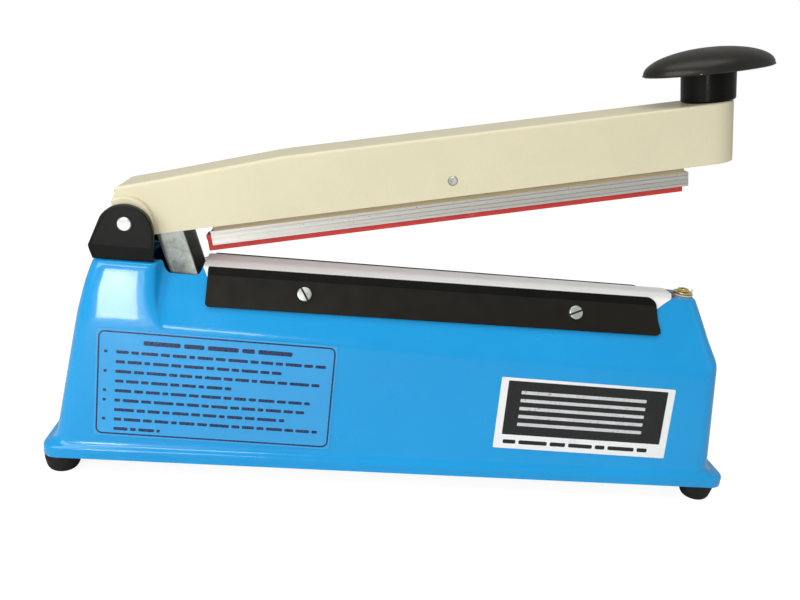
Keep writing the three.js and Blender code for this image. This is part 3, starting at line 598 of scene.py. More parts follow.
LAMINATED = surface("laminated_core", srgb(112, 110, 108), 0.5, tone=(0.2, 60), grain=(0.1, 700),
                    stretch=(0.1, 4, 0.1), Metallic=0.8)
SLEEVE = surface("woven_sleeve", srgb(226, 224, 214), 0.85, tone=(0.08, 200), grain=(0.12, 1300),
                 dirt=(srgb(190, 184, 168), 160, 0.55, 0.75))
LAMP_RED = surface("lamp_lens", srgb(196, 44, 22), 0.12, tone=(0.08, 150), grain=(0.004, 900),
                   Transmission_Weight=0.35)
FILM = surface("clear_film", srgb(36, 156, 220), 0.16, tone=(0.05, 12), grain=(0.006, 300), wave=(0.05, 90),
               Coat_Weight=0.6, Coat_Roughness=0.05)
WHITE_FILM = surface("white_film", srgb(240, 241, 240), 0.24, tone=(0.02, 20), grain=(0.006, 300),
                     wave=(0.03, 80), dirt=(srgb(214, 220, 224), 60, 0.6, 0.8))
NAVY_INK = surface("navy_ink", srgb(20, 44, 84), 0.3, tone=(0.14, 160), grain=(0.006, 900),
                   dirt=(srgb(44, 120, 176), 700, 0.62, 0.7))
BLACK_INK = surface("black_ink", srgb(20, 20, 21), 0.24, tone=(0.12, 60), grain=(0.006, 600),
                    dirt=(srgb(70, 72, 74), 500, 0.64, 0.74))
GREY_INK = surface("pale_print", srgb(206, 208, 208), 0.3, tone=(0.06, 120), grain=(0.006, 600),
                   dirt=(srgb(120, 122, 122), 420, 0.58, 0.7))


def glass_cloth():
    """White coated cloth: a plain weave under a satin coat, browned a little over the heating ribbon."""
    tree = Tree("coated_glass_cloth")
    where = tree.place()
    across = tree.add("SeparateXYZ", {"Vector": where}).outputs["Y"]
    scorch = tree.mapped(tree.maths("ABSOLUTE", across), 0.0012, 0.003, 0.15, 0.0)
    patches = tree.mapped(tree.noise(where, 60, 4), 0.35, 0.65)
    paint = tree.mix(tree.mapped(tree.noise(where, 25, 3), 0.3, 0.7), srgb(250, 251, 249),
                     srgb(242, 244, 240))
    paint = tree.mix(tree.maths("MULTIPLY", scorch, patches), paint, srgb(196, 178, 140))
    threads = []
    for direction in ("X", "Y"):
        waves = tree.add("TexWave", {"Vector": where, "Scale": 420, "Distortion": 0.4},
                         bands_direction=direction)
        threads.append(waves.outputs["Fac"])
    tree.set(tree.shader.inputs["Base Color"], paint)
    tree.set(tree.shader.inputs["Roughness"], tree.mapped(tree.noise(where, 90, 3), 0.3, 0.7, 0.38, 0.52))
    tree.set(tree.shader.inputs["Normal"], tree.bump(tree.maths("MULTIPLY", *threads), 0.03))
    return tree.material


CLOTH = glass_cloth()
CERAMIC = surface("pale_ceramic", srgb(206, 200, 184), 0.45, tone=(0.06, 90), grain=(0.01, 1200),
                  dirt=(srgb(150, 140, 118), 260, 0.56, 0.72))
# painted shade: a dark colour for the faces of driver slots, standing in for the shade inside the recess
SLOT_SHADE = surface("slot_dirt", srgb(44, 42, 37), 0.7, tone=(0.2, 300), grain=(0.03, 1500))
SLOTTED = [ZINC, SLOT_SHADE]
FLOOR_GREY = srgb(222, 222, 222)  # in the object's reflections
FLOOR_GLOW = 0.9
SKY_LIGHT = 0.42
LIGHTS = (  # name, place, aim, width, height and watts
    ("overhead", (-200, -300, 1600), (0, 0, 60), 1500, 1000, 9.5),
    ("front", (-930, -960, 600), (-60, 0, 80), 900, 700, 8),
    ("window", (-539, -1486, 75), (-176, -31, 106), 112, 150, 1.6),
    ("high_window", (-380, -1450, 560), (-60, 0, 90), 420, 150, 2.5),
    ("right", (1300, -700, 700), (100, 0, 80), 700, 900, 0.5),
)


# ---- camera, floor and light ----

def camera():
    """The photograph's view: from the operator's side, left of the middle and above."""
    right, up = Vector((0.99187, -0.07898, 0.09968)), Vector((-0.06982, 0.31695, 0.94586))
    lens = bpy.data.cameras.new("camera")
    lens.lens, lens.sensor_width = 35.03, 36
    lens.clip_start, lens.clip_end = 0.01, 100
    made = bpy.data.objects.new("camera", lens)
    turn = Matrix((right, up, right.cross(up))).transposed()
    made.matrix_world = Matrix.Translation(Vector((-60.06, -485.5, 261.8)) * MM) @ turn.to_4x4()
    bpy.context.scene.collection.objects.link(made)
    bpy.context.scene.camera = made


def soft_light(name, at, towards, width, height, power):
    """A rectangular studio light, places in millimetres and power in watts."""
    light = bpy.data.lights.new(name, "AREA")
    light.shape, light.size, light.size_y = "RECTANGLE", width * MM, height * MM
    light.energy = power
    made = bpy.data.objects.new(name, light)
    made.location = Vector(at) * MM
    made.rotation_mode = "QUATERNION"
    made.rotation_quaternion = (Vector(towards) - Vector(at)).to_track_quat("-Z", "Y")
    bpy.context.scene.collection.objects.link(made)


def seen_or_felt(tree, seen, felt):
    """Mixes two shaders: one that the camera sees and one that lights the object."""
    node = tree.nodes.new("ShaderNodeMixShader")
    look = tree.nodes.new("ShaderNodeLightPath")
    tree.links.new(look.outputs["Is Camera Ray"], node.inputs[0])
    tree.links.new(felt, node.inputs[1])
    tree.links.new(seen, node.inputs[2])
    return node.outputs[0]


def white_floor():
    """White with a faint shadow where the camera sees it, and a pale grey for the object's reflections."""
    tree = Tree("floor")
    glow = tree.add("Emission", {"Color": srgb(255, 255, 255), "Strength": FLOOR_GLOW}).outputs[0]
    shade = tree.add("BsdfDiffuse", {"Color": srgb(136, 136, 136)}).outputs[0]
    tree.set(tree.shader.inputs["Base Color"], FLOOR_GREY)
    tree.set(tree.shader.inputs["Roughness"], 0.7)
    seen = tree.add("AddShader", {0: glow, 1: shade}).outputs[0]
    mixed = seen_or_felt(tree.material.node_tree, seen, tree.shader.outputs[0])
    tree.set(tree.nodes["Material Output"].inputs["Surface"], mixed)
    return tree.material


def studio():
    """A white floor that the feet stand on, a white sky and soft lights."""
    half, level = 40000, box_of("foot_front_left")[0].z
    floor = build("floor", Shape([(-half, -half, level), (half, -half, level), (half, half, level),
                                  (-half, half, level)], [[0, 1, 2, 3]]))
    floor.data.materials.append(white_floor())
    sky = bpy.data.worlds.new("sky")
    sky.use_nodes = True
    tree = sky.node_tree
    felt = tree.nodes["Background"]
    seen = tree.nodes.new("ShaderNodeBackground")
    for shader, strength in ((felt, SKY_LIGHT), (seen, 1.0)):
        shader.inputs["Color"].default_value = (1, 1, 1, 1)
        shader.inputs["Strength"].default_value = strength
    tree.links.new(seen_or_felt(tree, seen.outputs[0], felt.outputs[0]),
                   tree.nodes["World Output"].inputs["Surface"])
    bpy.context.scene.world = sky
    for light in LIGHTS:
        soft_light(*light)
    bpy.context.scene.view_settings.view_transform = "Standard"


camera()
studio()


# ---- hulls: the body and the arm ----

def tub(columns, side, left, right, corner, end_steps=6, corner_steps=6, across=6, fade=90):
    """A solid hull. columns are X places along the rim, side(x) gives rows from the bottom up of
    (shift in x, half width, height), left and right give the end faces' rows of (x, height), and
    corner(end, row) gives the radius of the upright corners. Every list of rows has the same length."""
    count = len(left)
    rows = range(count)
    rim = count - 1
    first, last = columns[0], columns[-1]
    first_side, last_side = side(first), side(last)
    near = [left[k][0] + corner("left", k) for k in rows]
    far = [right[k][0] - corner("right", k) for k in rows]

    def side_column(x, sign):
        toward_left = max(0.0, 1 - (x - first) / fade)
        toward_right = max(0.0, 1 - (last - x) / fade)
        out = []
        for k, (shift, half, height) in enumerate(side(x)):
            place = x + shift + (near[k] - first) * toward_left + (far[k] - last) * toward_right
            out.append(Vector((place, sign * half, height)))
        return out

    def end_columns(rows_here, tangents, ends, name, turn):
        """From the front side round to the rear side; turn is -1 at the left end and 1 at the right."""
        out = []
        for i in range(1, corner_steps + 1):
            out.append(("corner", -1, i / corner_steps))
        for i in range(1, end_steps):
            out.append(("end", None, i / end_steps))
        for i in range(corner_steps, 0, -1):
            out.append(("corner", 1, i / corner_steps))
        made = []
        for kind, sign, t in out:
            line = []
            for k in rows:
                _, half, height = rows_here[k]
                r = corner(name, k)
                if kind == "corner":
                    a = t * math.pi / 2
                    line.append(Vector((tangents[k] + turn * r * math.sin(a),
                                        sign * (half - r + r * math.cos(a)),
                                        lerp(height, ends[k][1], ease(t)))))
                else:
                    line.append(Vector((ends[k][0], (half - r) * (2 * t - 1), ends[k][1])))
            made.append(line)
        return made

    front = [side_column(x, -1) for x in columns]
    rear = [side_column(x, 1) for x in columns]
    right_end = end_columns(last_side, far, right, "right", 1)
    left_end = end_columns(first_side, near, left, "left", -1)
    loop = front + right_end + rear[::-1] + left_end[::-1]
    shape = skin([[column[k] for column in loop] for k in rows], ends=False)
    # the top: rows of points across from the front rim to the rear rim, and one face at each end
    base = len(shape.points)
    total, wide = len(loop), len(columns)
    rim_start = rim * total
    rear_index = [rim_start + total - 1 - len(left_end) - i for i in range(wide)]
    for i in range(wide):
        a, b = front[i][rim], rear[i][rim]
        shape.points += [a.lerp(b, t) for t in spread(0, 1, across + 1)[1:-1]]

    def line(i):
        inner = [base + i * (across - 1) + j for j in range(across - 1)]
        return [rim_start + i, *inner, rear_index[i]]

    for i in range(wide - 1):
        a, b = line(i), line(i + 1)
        shape.faces += [[a[j], b[j], b[j + 1], a[j + 1]] for j in range(across)]
    start_right = rim_start + wide
    shape.faces.append(line(wide - 1)[:-1] + [rear_index[-1]]
                       + [start_right + i for i in reversed(range(len(right_end)))])
    start_left = rim_start + total - len(left_end)
    shape.faces.append(line(0) + [start_left + i for i in range(len(left_end))])
    shape.faces.append(list(range(total))[::-1])
    shape.inks = [0] * len(shape.faces)
    return shape


def stations(*stretches):
    """Places along X: each stretch is (start, end, count), and the next begins where it ends."""
    out = [stretches[0][0]]
    for start, end, count in stretches:
        out += spread(start, end, count + 1)[1:]
    return out


# ---- the body shell ----

FLANGE_Z, FOOT_Z = 6.6, 9.4  # top edge of the flange, and the corner where the walls rise from it
HUMP_FOOT_Z = 88
HUMP_HALF = 28
SIDES = (("front", -1), ("rear", 1))
HUMP_RIGHT = -156  # where the hump steps down to the ridge, at its top
HUMP_FLARE = 9  # how much further right the step is at its foot
SLOT_BOX = (-165, -131, 18, 100)  # left, right, half width and lowest level of the opening for the link
BODY_REACH = [0, 1.3, 3.2, 3.4, 6, 2.0, 0]  # how far each corner's curve reaches, from the rim up
BODY_BETWEEN = [2, 1, 8, 4, 4, 1]  # pieces of each straight stretch between those corners


WALL_HALF, WALL_HALF_Z = 42.3, 14  # half width between the side walls, and the level where it holds
RIDGE_HALF, RIDGE_TAPER = 13.9, 0.0096  # half width of the ridge at X = 0, and how fast it narrows along X
ROOF_SPREAD = 0.534  # how much wider the roof is for each millimetre down
CREASE_RISE, CREASE_SLOPE = 20.72, 0.42  # these put the crease where the roof meets the walls
FLANGE_HALF, FLANGE_END = 45, 223
TOP_FLAT = 5  # how far the top's outline runs in from its edge


def wall_half(z):
    return WALL_HALF - (z - WALL_HALF_Z) * math.tan(DRAFT)


def ridge_half(x):
    return RIDGE_HALF - RIDGE_TAPER * x


def roof_half(x, z, lift=0.0):
    """Half width of the roof, on a surface lifted off it."""
    return ridge_half(x) + ROOF_SPREAD * (TOP_Z - z) + lift * math.hypot(1, ROOF_SPREAD)


def step_path():
    """The plan of the hump's front corner and of the trough beside it: (x, share of the hump) pairs."""
    low, high = ridge_half(HUMP_RIGHT), HUMP_HALF
    corners = [(HUMP_RIGHT - 9, high), (HUMP_RIGHT, high), (HUMP_RIGHT, low), (HUMP_RIGHT + 9, low)]
    path = soften(corners, [0, 5, 6.3, 0], 6)
    spaced = [p.x + 0.35 * (i - len(path) / 2) for i,
              p in enumerate(path)]  # the columns can't lie on each other
    return [(x, (p.y - low) / (high - low)) for x, p in zip(spaced, path)]


def share_of_hump(x, path):
    if x <= path[0][0]:
        return 1.0
    if x >= path[-1][0]:
        return 0.0
    for (x0, w0), (x1, w1) in zip(path, path[1:]):
        if x0 <= x <= x1:
            return lerp(w0, w1, (x - x0) / max(x1 - x0, 1e-9))
    return 0.0


def body_shape(thin=0.0):
    """The outside of the body, or with thin the inside of a wall of that thickness, open below."""
    path = step_path()
    tight = 0.5 if thin else 1.0  # the inside has smaller curves

    def side(x):
        w = share_of_hump(x, path)
        crease = lerp((ridge_half(x) + CREASE_RISE) / CREASE_SLOPE, HUMP_FOOT_Z, w)
        top = lerp(TOP_Z, HUMP_TOP, min(1.0, w / 0.25))
        top_half = lerp(ridge_half(x), HUMP_HALF, w)
        keys = [(FLANGE_HALF, 0), (FLANGE_HALF, FLANGE_Z), (wall_half(FOOT_Z), FOOT_Z),
                (wall_half(crease), crease),
                (lerp(wall_half(crease), top_half, 0.55), lerp(crease, top, 0.55)), (top_half, top),
                (top_half - TOP_FLAT, top)]
        keys = [(half - thin, z - thin) for half, z in keys]
        reach = [r * tight for r in (*BODY_REACH[:5], lerp(1.6, 3.2, w), 0)]
        nearness = ease(1 - abs(x - HUMP_RIGHT) / 34)
        out = []
        for half, z in soften(keys, reach, 4, between=BODY_BETWEEN):
            up = min(max((z - HUMP_FOOT_Z + 3) / (HUMP_TOP - HUMP_FOOT_Z + 3), 0), 1)
            flare = HUMP_FLARE * (1 - up ** 0.55) * min(1, max(z, 0) / HUMP_FOOT_Z)
            out.append((flare * nearness, half, z))
        return out

    def end(flange, foot, crease, middle, top, reach):
        sign = math.copysign(1, top[0])
        keys = [(flange, 0), (flange, FLANGE_Z), (foot, FOOT_Z), crease, middle, top,
                (top[0] - TOP_FLAT * sign, top[1])]
        keys = [(x - thin * sign, z - thin) for x, z in keys]
        return [tuple(p) for p in soften(keys, [r * tight for r in reach], 4, between=BODY_BETWEEN)]

    left = end(-FLANGE_END, -215.8, (-204, 89.5), (-200, 107.5), (-194.6, HUMP_TOP),
               [0, 1.3, 5, 5, 8, 3.2, 0])
    right = end(FLANGE_END, 212.2, (206.8, 83), (199.6, 102), (192.3, TOP_Z), [0, 1.3, 5, 3, 6, 1.6, 0])
    rim = len(left) - 5
    smallest = 0.6

    def corner(name, row):
        if name == "left":
            full = lerp(10, 7.5, ease((left[row][1] - HUMP_FOOT_Z) / 30))
            gone = abs(left[row][0] - left[rim][0])
        else:
            full = lerp(10, 8, ease((right[row][1] - 80) / 40))
            gone = abs(right[row][0] - right[rim][0])
        return max(smallest, full - thin - (gone if row > rim else 0))

    start, finish = left[rim][0] + 7.5, right[rim][0] - 8
    columns = stations((start, path[0][0] - 0.01, 7)) + [x for x, _ in path]
    columns += stations((path[-1][0], -120, 9), (-120, 120, 40), (120, finish, 16))[1:]
    return tub(columns, side, left, right, corner)


# turns a drawing seen from the rear upright, and +Z to +Y
REAR = Matrix(((-1, 0, 0, 0), (0, 0, 1, 0), (0, 1, 0, 0), (0, 0, 0, 1)))
PANEL_Z = 40  # level at which the fronts of the panels are placed


def rear_panel(x, up):
    """A frame on the rear wall, in millimetres: X to the viewer's right, Y up the wall and Z out of it."""
    wall = shift(0, wall_half(PANEL_Z), PANEL_Z) @ Matrix.Rotation(DRAFT, 4, "X")
    return wall @ shift(x, 0, up) @ REAR


def front_panel(x, z):
    """The same on the front wall."""
    wall = shift(0, -wall_half(PANEL_Z), PANEL_Z) @ Matrix.Rotation(-DRAFT, 4, "X")
    return wall @ shift(x, 0, z - PANEL_Z) @ UPRIGHT


def centre_of(node):
    low, high = box_of(node)
    return (low + high) / 2


PANEL_UP = {"timer_shaft": 0, "signal_lamp": 8, "fuse_holder": -6, "cord_grommet": -14}  # how far up the wall


def panel_place(node):
    return rear_panel(centre_of(node).x, PANEL_UP[node])


def body_shell():
    left, right, half, low = SLOT_BOX
    cuts = [body_shape(thin=2), block(left, right, -half, half, low, HUMP_TOP + 20, 2.5)]
    for node, radius in (("timer_shaft", 3.8), ("signal_lamp", 4.2), ("fuse_holder", 6),
                         ("cord_grommet", 6.4)):
        cuts.append(rod(radius, -8, 6).moved(panel_place(node)))
    return piece("body_shell_skin", body_shape(), "base", BLUE, "body_shell", cuts=cuts)


body_shell()


# ---- the arm ----

ARM_HALF, ARM_TOP, ARM_BOTTOM, ARM_KINK, ARM_END = 19, 26.7, -10.2, 95.5, 377.6
PIN_BORE, ROCKER_BORE, BOLT_BORE, SHAFT_BORE = 4.55, 3.05, 4.3, 3.8
ROCKER_U, _, ROCKER_V = ARM_PLACE.inverted() @ ROCKER
ROCKER_RADIUS = 2.75
KNOB_U = 363


def arm_top(u):
    """Height of the arm's upper face, with the kink rounded off."""
    slope = (ARM_TOP - 20.3) / (ARM_KINK + 4.2)
    gap = ARM_KINK - u
    bend = 7
    if gap > bend:
        return ARM_TOP - slope * gap
    if gap < -bend:
        return ARM_TOP
    return ARM_TOP - slope * (gap + bend) ** 2 / (4 * bend)


def arm_side(u, thin=0.0):
    """Rows of the arm's side at u, from its lower edge to the flat of its top."""
    top = arm_top(u) - thin
    keys = [(ARM_HALF - thin, ARM_BOTTOM - thin), (ARM_HALF - thin, top), (ARM_HALF - 6, top)]
    return [(0, half, v) for half, v in soften(keys, 2.0 - thin / 4, 6, between=[10, 1])]


def arm_corner(rows_at_end, radius, thin=0.0):
    return lambda row: radius - min(radius - 0.1, max(0, ARM_HALF - thin - rows_at_end[row][1]))


def arm_outside():
    """The arm's outer form: a half-round right end, and a left end that curves under the hinge pin."""
    top = arm_top(-4.2)
    low = [Vector((-math.sqrt(max(0, ARM_BOTTOM ** 2 - v * v)), v)) for v in spread(ARM_BOTTOM, 7.2, 10)]
    bend = soften([(-7.22, 7.2), (-4.2, top), (1.8, arm_top(1.8))], 2.6, 6)
    left = [tuple(p) for p in low[:-1]] + [tuple(p) for p in bend]
    right = [(ARM_END - (ARM_HALF - half), v) for _, half, v in arm_side(ARM_END)]
    corners = {"left": arm_corner(arm_side(0), 2.4), "right": arm_corner(arm_side(ARM_END), ARM_HALF - 0.1)}
    columns = stations((4, 20, 4), (20, 84, 10), (84, 107, 8), (107, ARM_END - ARM_HALF + 0.1, 34))
    return tub(columns, arm_side, left, right, lambda end, row: corners[end](row), corner_steps=12,
               end_steps=4,
               fade=16)


ARM_WALL, ARM_HUB = 2.5, 10  # wall thickness, and where the solid hub ends
HUB_LEFT, BOSS_LEFT = -7.3, -5.6  # the round hub and the bosses beside it are cut flat here


def arm_inside():
    """The hollow that is open below, from the hub to the right end."""
    def side(u):
        return arm_side(u, ARM_WALL)

    half = ARM_HALF - ARM_WALL
    left = [(ARM_HUB, v) for _, _, v in side(ARM_HUB)]
    right = [(ARM_END - ARM_WALL - (half - width), v) for _, width, v in side(ARM_END)]
    corners = {"left": arm_corner(side(0), 1.5, ARM_WALL), "right": arm_corner(side(ARM_END), half - 0.1,
                                                                               ARM_WALL)}
    columns = stations((ARM_HUB + 1.5, 84, 10), (84, 107, 8), (107, ARM_END - ARM_HALF + 0.1, 20))
    return tub(columns, side, left, right, lambda end, row: corners[end](row), corner_steps=10, end_steps=4,
               fade=16)


def across(radius, half, edge=0.5, sides=48):
    """A round bar across the arm."""
    return rod(radius, -half, half, edge, sides).moved(ALONG_Y)


def press_arm():
    boss = across(15, 22.5, 1.2, 64)
    cuts = [block(-30, HUB_LEFT, -30, 30, -30, 30, 0.01)]
    cuts += [block(-30, BOSS_LEFT, y, y + 10, -30, 30, 0.01) for y in (-ARM_HALF - 10.02, ARM_HALF + 0.02)]
    cuts += [arm_inside(), across(PIN_BORE, 40), across(ROCKER_BORE, 40).shifted(ROCKER_U, 0, ROCKER_V),
             rod(BOLT_BORE, 20, 30).shifted(KNOB_U, 0, 0)]
    return piece("press_arm_casting", arm_outside(), "arm", CREAM, "press_arm", joined=[boss],
                 cuts=cuts, at=ARM_PLACE)


press_arm()


# ---- hinge ----

SADDLE_ARC = (PIVOT.x, 141.9, 16.4)  # centre and radius of the cheeks' round top
SADDLE_SHOULDER = (-196.2, 132.6)
SADDLE_CREASE = 132.7  # below it the outer faces lean in
SADDLE_SCREW = (-186, 15)  # x and distance from the middle


def hinge_saddle():
    low, high = box_of("hinge_saddle")
    x, z, radius = SADDLE_ARC
    right = x + radius
    outline = points((-194, low.z), (right, low.z)) + arc(x, z, radius, 0, 150, 30) + points(SADDLE_SHOULDER)
    face = points((-194.1, SADDLE_CREASE + 0.6), (right - 1.5, SADDLE_CREASE + 0.6))
    face += arc(x, z, radius - 1.5, 0, 150, 30)
    inner, outer = 22.8, high.y
    lean = points((-30, 123), (-25.3, 123), (-outer, SADDLE_CREASE), (-30, SADDLE_CREASE))
    screw_x, screw_y = SADDLE_SCREW
    joined = [side_slab(outline, inner, outer, 0.9), block(-194, -168, -23.6, 23.6, low.z, 128, 0.5)]
    cuts = [rod(PIN_BORE, -40, 40, 0.01).moved(Matrix.Translation(PIVOT) @ ALONG_Y)]
    for side in (-1, 1):
        depth = (outer - 0.35, outer + 1) if side > 0 else (-outer - 1, -outer + 0.35)
        cuts.append(side_slab(face, *depth, 0.3))
        wedge = lean if side < 0 else [Vector((-p.x, p.y)) for p in reversed(lean)]
        cuts.append(extrusion(wedge, -200, -150, 0.01))
        cuts.append(rod(2.4, 120, 132, 0.01).shifted(screw_x, side * screw_y, 0))
        seam = sorted((side * (outer - 0.7), side * (outer - 0.2)))
        joined.append(block(x - 0.2, x + 0.2, *seam, SADDLE_CREASE - 0.4, z - 0.4, 0.12))
    return piece("saddle_moulding", side_slab(outline, -outer, -inner, 0.9), "base",
                 SATIN_BLACK, "hinge_saddle", joined=joined[:2], cuts=cuts, sharp=30)


def pin_end(radius, half):
    """A pin across the machine with a chamfer and a shallow turned dimple at each end."""
    end = [(radius, half - 0.5), (radius - 0.5, half), (radius * 0.35, half), (0, half - 0.35)]
    return lathe([(r, -z) for r, z in reversed(end)] + end, 40).moved(ALONG_Y)


hinge_saddle()
piece("hinge_pin", pin_end(4.2, box_of("pivot_pin")[1].y), "base", ZINC, "pivot_pin",
      at=Matrix.Translation(PIVOT))
for place, side in SIDES:
    piece(f"saddle_fixing_{place}", screw(4, 2.28, 2, 15), "base", SLOTTED,
          f"saddle_screw_{place}",
          cuts=cross_cut(2.4, 2.28, 1.2, 0.9),
          at=shift(SADDLE_SCREW[0], side * SADDLE_SCREW[1], 128.12))


# ---- underside ----

FOOT_CORNERS = ("front_left", "front_right", "rear_left", "rear_right")


def bottom_plate():
    low, high = box_of("bottom_plate")
    outline = rectangle(low.x, high.x, low.y, high.y, 7.7, 10)
    places = [centre_of(f"foot_{corner}") for corner in FOOT_CORNERS]
    places += [centre_of(f"transformer_screw_{side}") for side in ("left", "right")]
    cuts = [rod(2.3, -3, 4, 0.01, 24).shifted(p.x, p.y, 0) for p in places]
    return piece("base_sheet", slab(outline, 0, 1.5, 0.3), "base", STEEL, "bottom_plate",
                 cuts=cuts)


def foot(corner):
    middle = centre_of(f"foot_{corner}")
    section = points((2.4, -0.1), (2.4, -6), (4.6, -6), (4.6, -12), (7.6, -12), (9.6, -9.5), (11, -3),
                     (11, -0.1))
    rounded = soften(section, [0, 0, 0.4, 0.5, 1.6, 1.6, 1.6, 0.7], 4, closed=True)
    at = shift(middle.x, middle.y, 0)
    piece(f"rubber_foot_{corner}", lathe(rounded, 56), "base", RUBBER,
          f"foot_{corner}", at=at)
    upside_down = at @ shift(0, 0, -6.12) @ Matrix.Rotation(math.pi, 4, "X")
    piece(f"foot_fixing_{corner}", screw(3.8, 2.28, 1.9, 18), "base", SLOTTED,
          f"foot_screw_{corner}",
          cuts=cross_cut(2.3, 2.28, 1.3, 0.9), at=upside_down)


bottom_plate()
for corner in FOOT_CORNERS:
    foot(corner)


# ---- sealing bed ----

STRIP_LOW, STRIP_HIGH = box_of("insulating_strip")
TERMINAL_X = centre_of("terminal_washer").x
RIBBON_Z = STRIP_HIGH.z + 0.205  # middle of the ribbon's thickness


def insulating_strip():
    shape = block(STRIP_LOW.x, STRIP_HIGH.x, STRIP_LOW.y, STRIP_HIGH.y, STRIP_LOW.z, STRIP_HIGH.z, 0.2)
    return piece("bed_strip", shape, "base", INSULATOR, "insulating_strip")


def heating_element():
    left = box_of("heating_element")[0].x + 0.13
    path = soften([(left, 104), (left, RIBBON_Z), (TERMINAL_X, RIBBON_Z)], 1.2, 8, between=[10, 40])
    rings = []
    for i, p in enumerate(path):
        along = (path[min(i + 1, len(path) - 1)] - path[max(i - 1, 0)]).normalized() * 0.12
        for_side = [(p.x - along.y, p.y + along.x), (p.x + along.y, p.y - along.x)]
        rings.append([Vector((x, y, z)) for (x, z), y in zip([*for_side, *for_side[::-1]],
                                                             (-1.5, -1.5, 1.5, 1.5))])
    eye = rod(4.5, RIBBON_Z - 0.12, RIBBON_Z + 0.12, 0.05).shifted(TERMINAL_X, 0, 0)
    hole = rod(2.6, RIBBON_Z - 3, RIBBON_Z + 3, 0.01).shifted(TERMINAL_X, 0, 0)
    return piece("heating_ribbon", skin(rings), "base", NICHROME, "heating_element", joined=[eye],
                 cuts=[hole])


CLOTH_LIFT = 0.45  # middle of the cloth above the roof
CLOTH_TOP = box_of("ptfe_cloth")[1].z - GAP
# where the cloth starts at the left and ends at the right, as (level, x) from the bottom up
CLOTH_START = ((101, -126), (113, -126.4), (120.5, -130.6), (CLOTH_TOP, -130.6))
CLOTH_END = ((101, 158.5), (112, 160), (114, 162), (118, 167.5), (121, 172.5), (CLOTH_TOP, 175))


def cut_at(z, ends):
    for (z0, x0), (z1, x1) in zip(ends, ends[1:]):
        if z <= z1:
            return lerp(x0, x1, (z - z0) / (z1 - z0))
    return ends[-1][1]


def ptfe_cloth():
    """One sheet over the bed and down both roofs, stretched under the clamp plates."""
    low, high = box_of("ptfe_cloth")
    rows = 100

    def section(x):
        half = [(roof_half(x, low.z, CLOTH_LIFT), low.z), (roof_half(x, TOP_Z + 0.2, CLOTH_LIFT),
                                                           TOP_Z + 0.2),
                (6.4, CLOTH_TOP)]
        keys = [(-y, z) for y, z in half] + [(y, z) for y, z in reversed(half)]
        return soften(keys, [0, 1.6, 0.7, 0.7, 1.6, 0], 4, between=[10, 4, 8, 4, 10])

    columns = []
    for share in spread(0, 1, rows + 1):
        line = section(lerp(low.x, high.x, share))
        lip = 0.035 * math.sin(share * 71)
        columns.append([Vector((lerp(cut_at(p.y, CLOTH_START), cut_at(p.y, CLOTH_END), share), p.x,
                                p.y + lip * ease((p.y - 119) / 3) - 0.02)) for p in line])
    made = build("cloth_cover", skin(columns, ends=False, open_rings=True))
    step = made.modifiers.new("thickness", "SOLIDIFY")
    step.thickness, step.offset = 0.16 * MM, 0
    flat = section(0)
    width = sum((b - a).length for a, b in zip(flat, flat[1:]))
    dress(made, "base", CLOTH, "ptfe_cloth", sharp=60)
    return made


CLAMP_INNER, CLAMP_OUTER = 0.9, 2.1  # the plate's two faces above the roof
CLAMP_LEFT, CLAMP_RIGHT = box_of("clamp_plate_front")[0].x, 161.3
CLAMP_LOW, CLAMP_BEND, CLAMP_TOP = 99.5, 117, 121.5
CLAMP_LEAN = 0.15  # how much nearer to the cloth the upper edge is
CLAMP_SCREW_Z = 108.8
NOTCH_Z = 103.6  # below it the right end stands out a little
CLAMP_SCREWS = {"left": -67.8, "right": 106.5}  # places along X
SLOT_ANGLES = {"front_left": -58, "front_right": 24, "rear_left": 70, "rear_right": -35}


def clamp_plate(place, side):
    """A blade along the roof, its upper band leaning in towards the cloth and painted darker as shade, with
    rounded corners.
    """
    def path(x, lift):
        keys = [(roof_half(x, CLAMP_LOW, lift), CLAMP_LOW), (roof_half(x, CLAMP_BEND, lift), CLAMP_BEND),
                (roof_half(x, CLAMP_TOP, lift - CLAMP_LEAN), CLAMP_TOP)]
        return soften(keys, [0, 0.8, 0], 4)

    def taken(distance, radius):
        """How much a round corner takes off at a distance from its side."""
        gap = max(0.0, radius - distance)
        return radius - math.sqrt(max(0.0, radius ** 2 - gap ** 2))

    def ring(x):
        low_cut = taken(x - CLAMP_LEFT, 2.6) + taken(CLAMP_RIGHT - x, 2.4)
        top_cut = taken(x - CLAMP_LEFT, 0.8) + taken(CLAMP_RIGHT - x, 5.5)
        loop = measured(path(x, CLAMP_OUTER), 30, low_cut, top_cut)
        loop += measured(path(x, CLAMP_INNER), 30, low_cut, top_cut)[::-1]
        near_end = ease((x - CLAMP_RIGHT + 30) / 30)
        out = []
        for p in loop:
            shift = (CLAMP_TOP - p.y) * 0.1 * near_end
            if x > CLAMP_RIGHT - 1.5:
                shift += 1.1 * ease((NOTCH_Z - p.y) / 0.7 + 0.5) * (x - CLAMP_RIGHT + 1.5) / 1.5
            out.append(Vector((x + shift, side * p.x, p.y)))
        return out

    close = [0, 0.08, 0.3, 0.7, 1.2, 1.9, 2.6]
    far = [0, 0.08, 0.3, 0.6, 1.0, 1.5, 2.0, 2.4, 3.2, 4.0, 4.8, 5.5]
    places = [CLAMP_LEFT + d for d in close] + spread(CLAMP_LEFT + 8, CLAMP_RIGHT - 8, 60)
    places += [CLAMP_RIGHT - d for d in reversed(far)]
    holes = [rod(2.4, -8, 8, 0.01, 24).moved(roof_place(x, side)) for x in CLAMP_SCREWS.values()]
    blade = skin([ring(x) for x in places])
    middles = [sum((blade.points[i] for i in face), Vector()) / len(face) for face in blade.faces]
    # faces above the bend get ink 1, the band's painted shade
    blade.inks = [int(middle.z > CLAMP_BEND) for middle in middles]
    return piece(f"clamp_blade_{place}", blade, "base", [PLATE_BLACK, PLATE_BAND_SHADE],
                 f"clamp_plate_{place}", cuts=holes, edge=0.22)


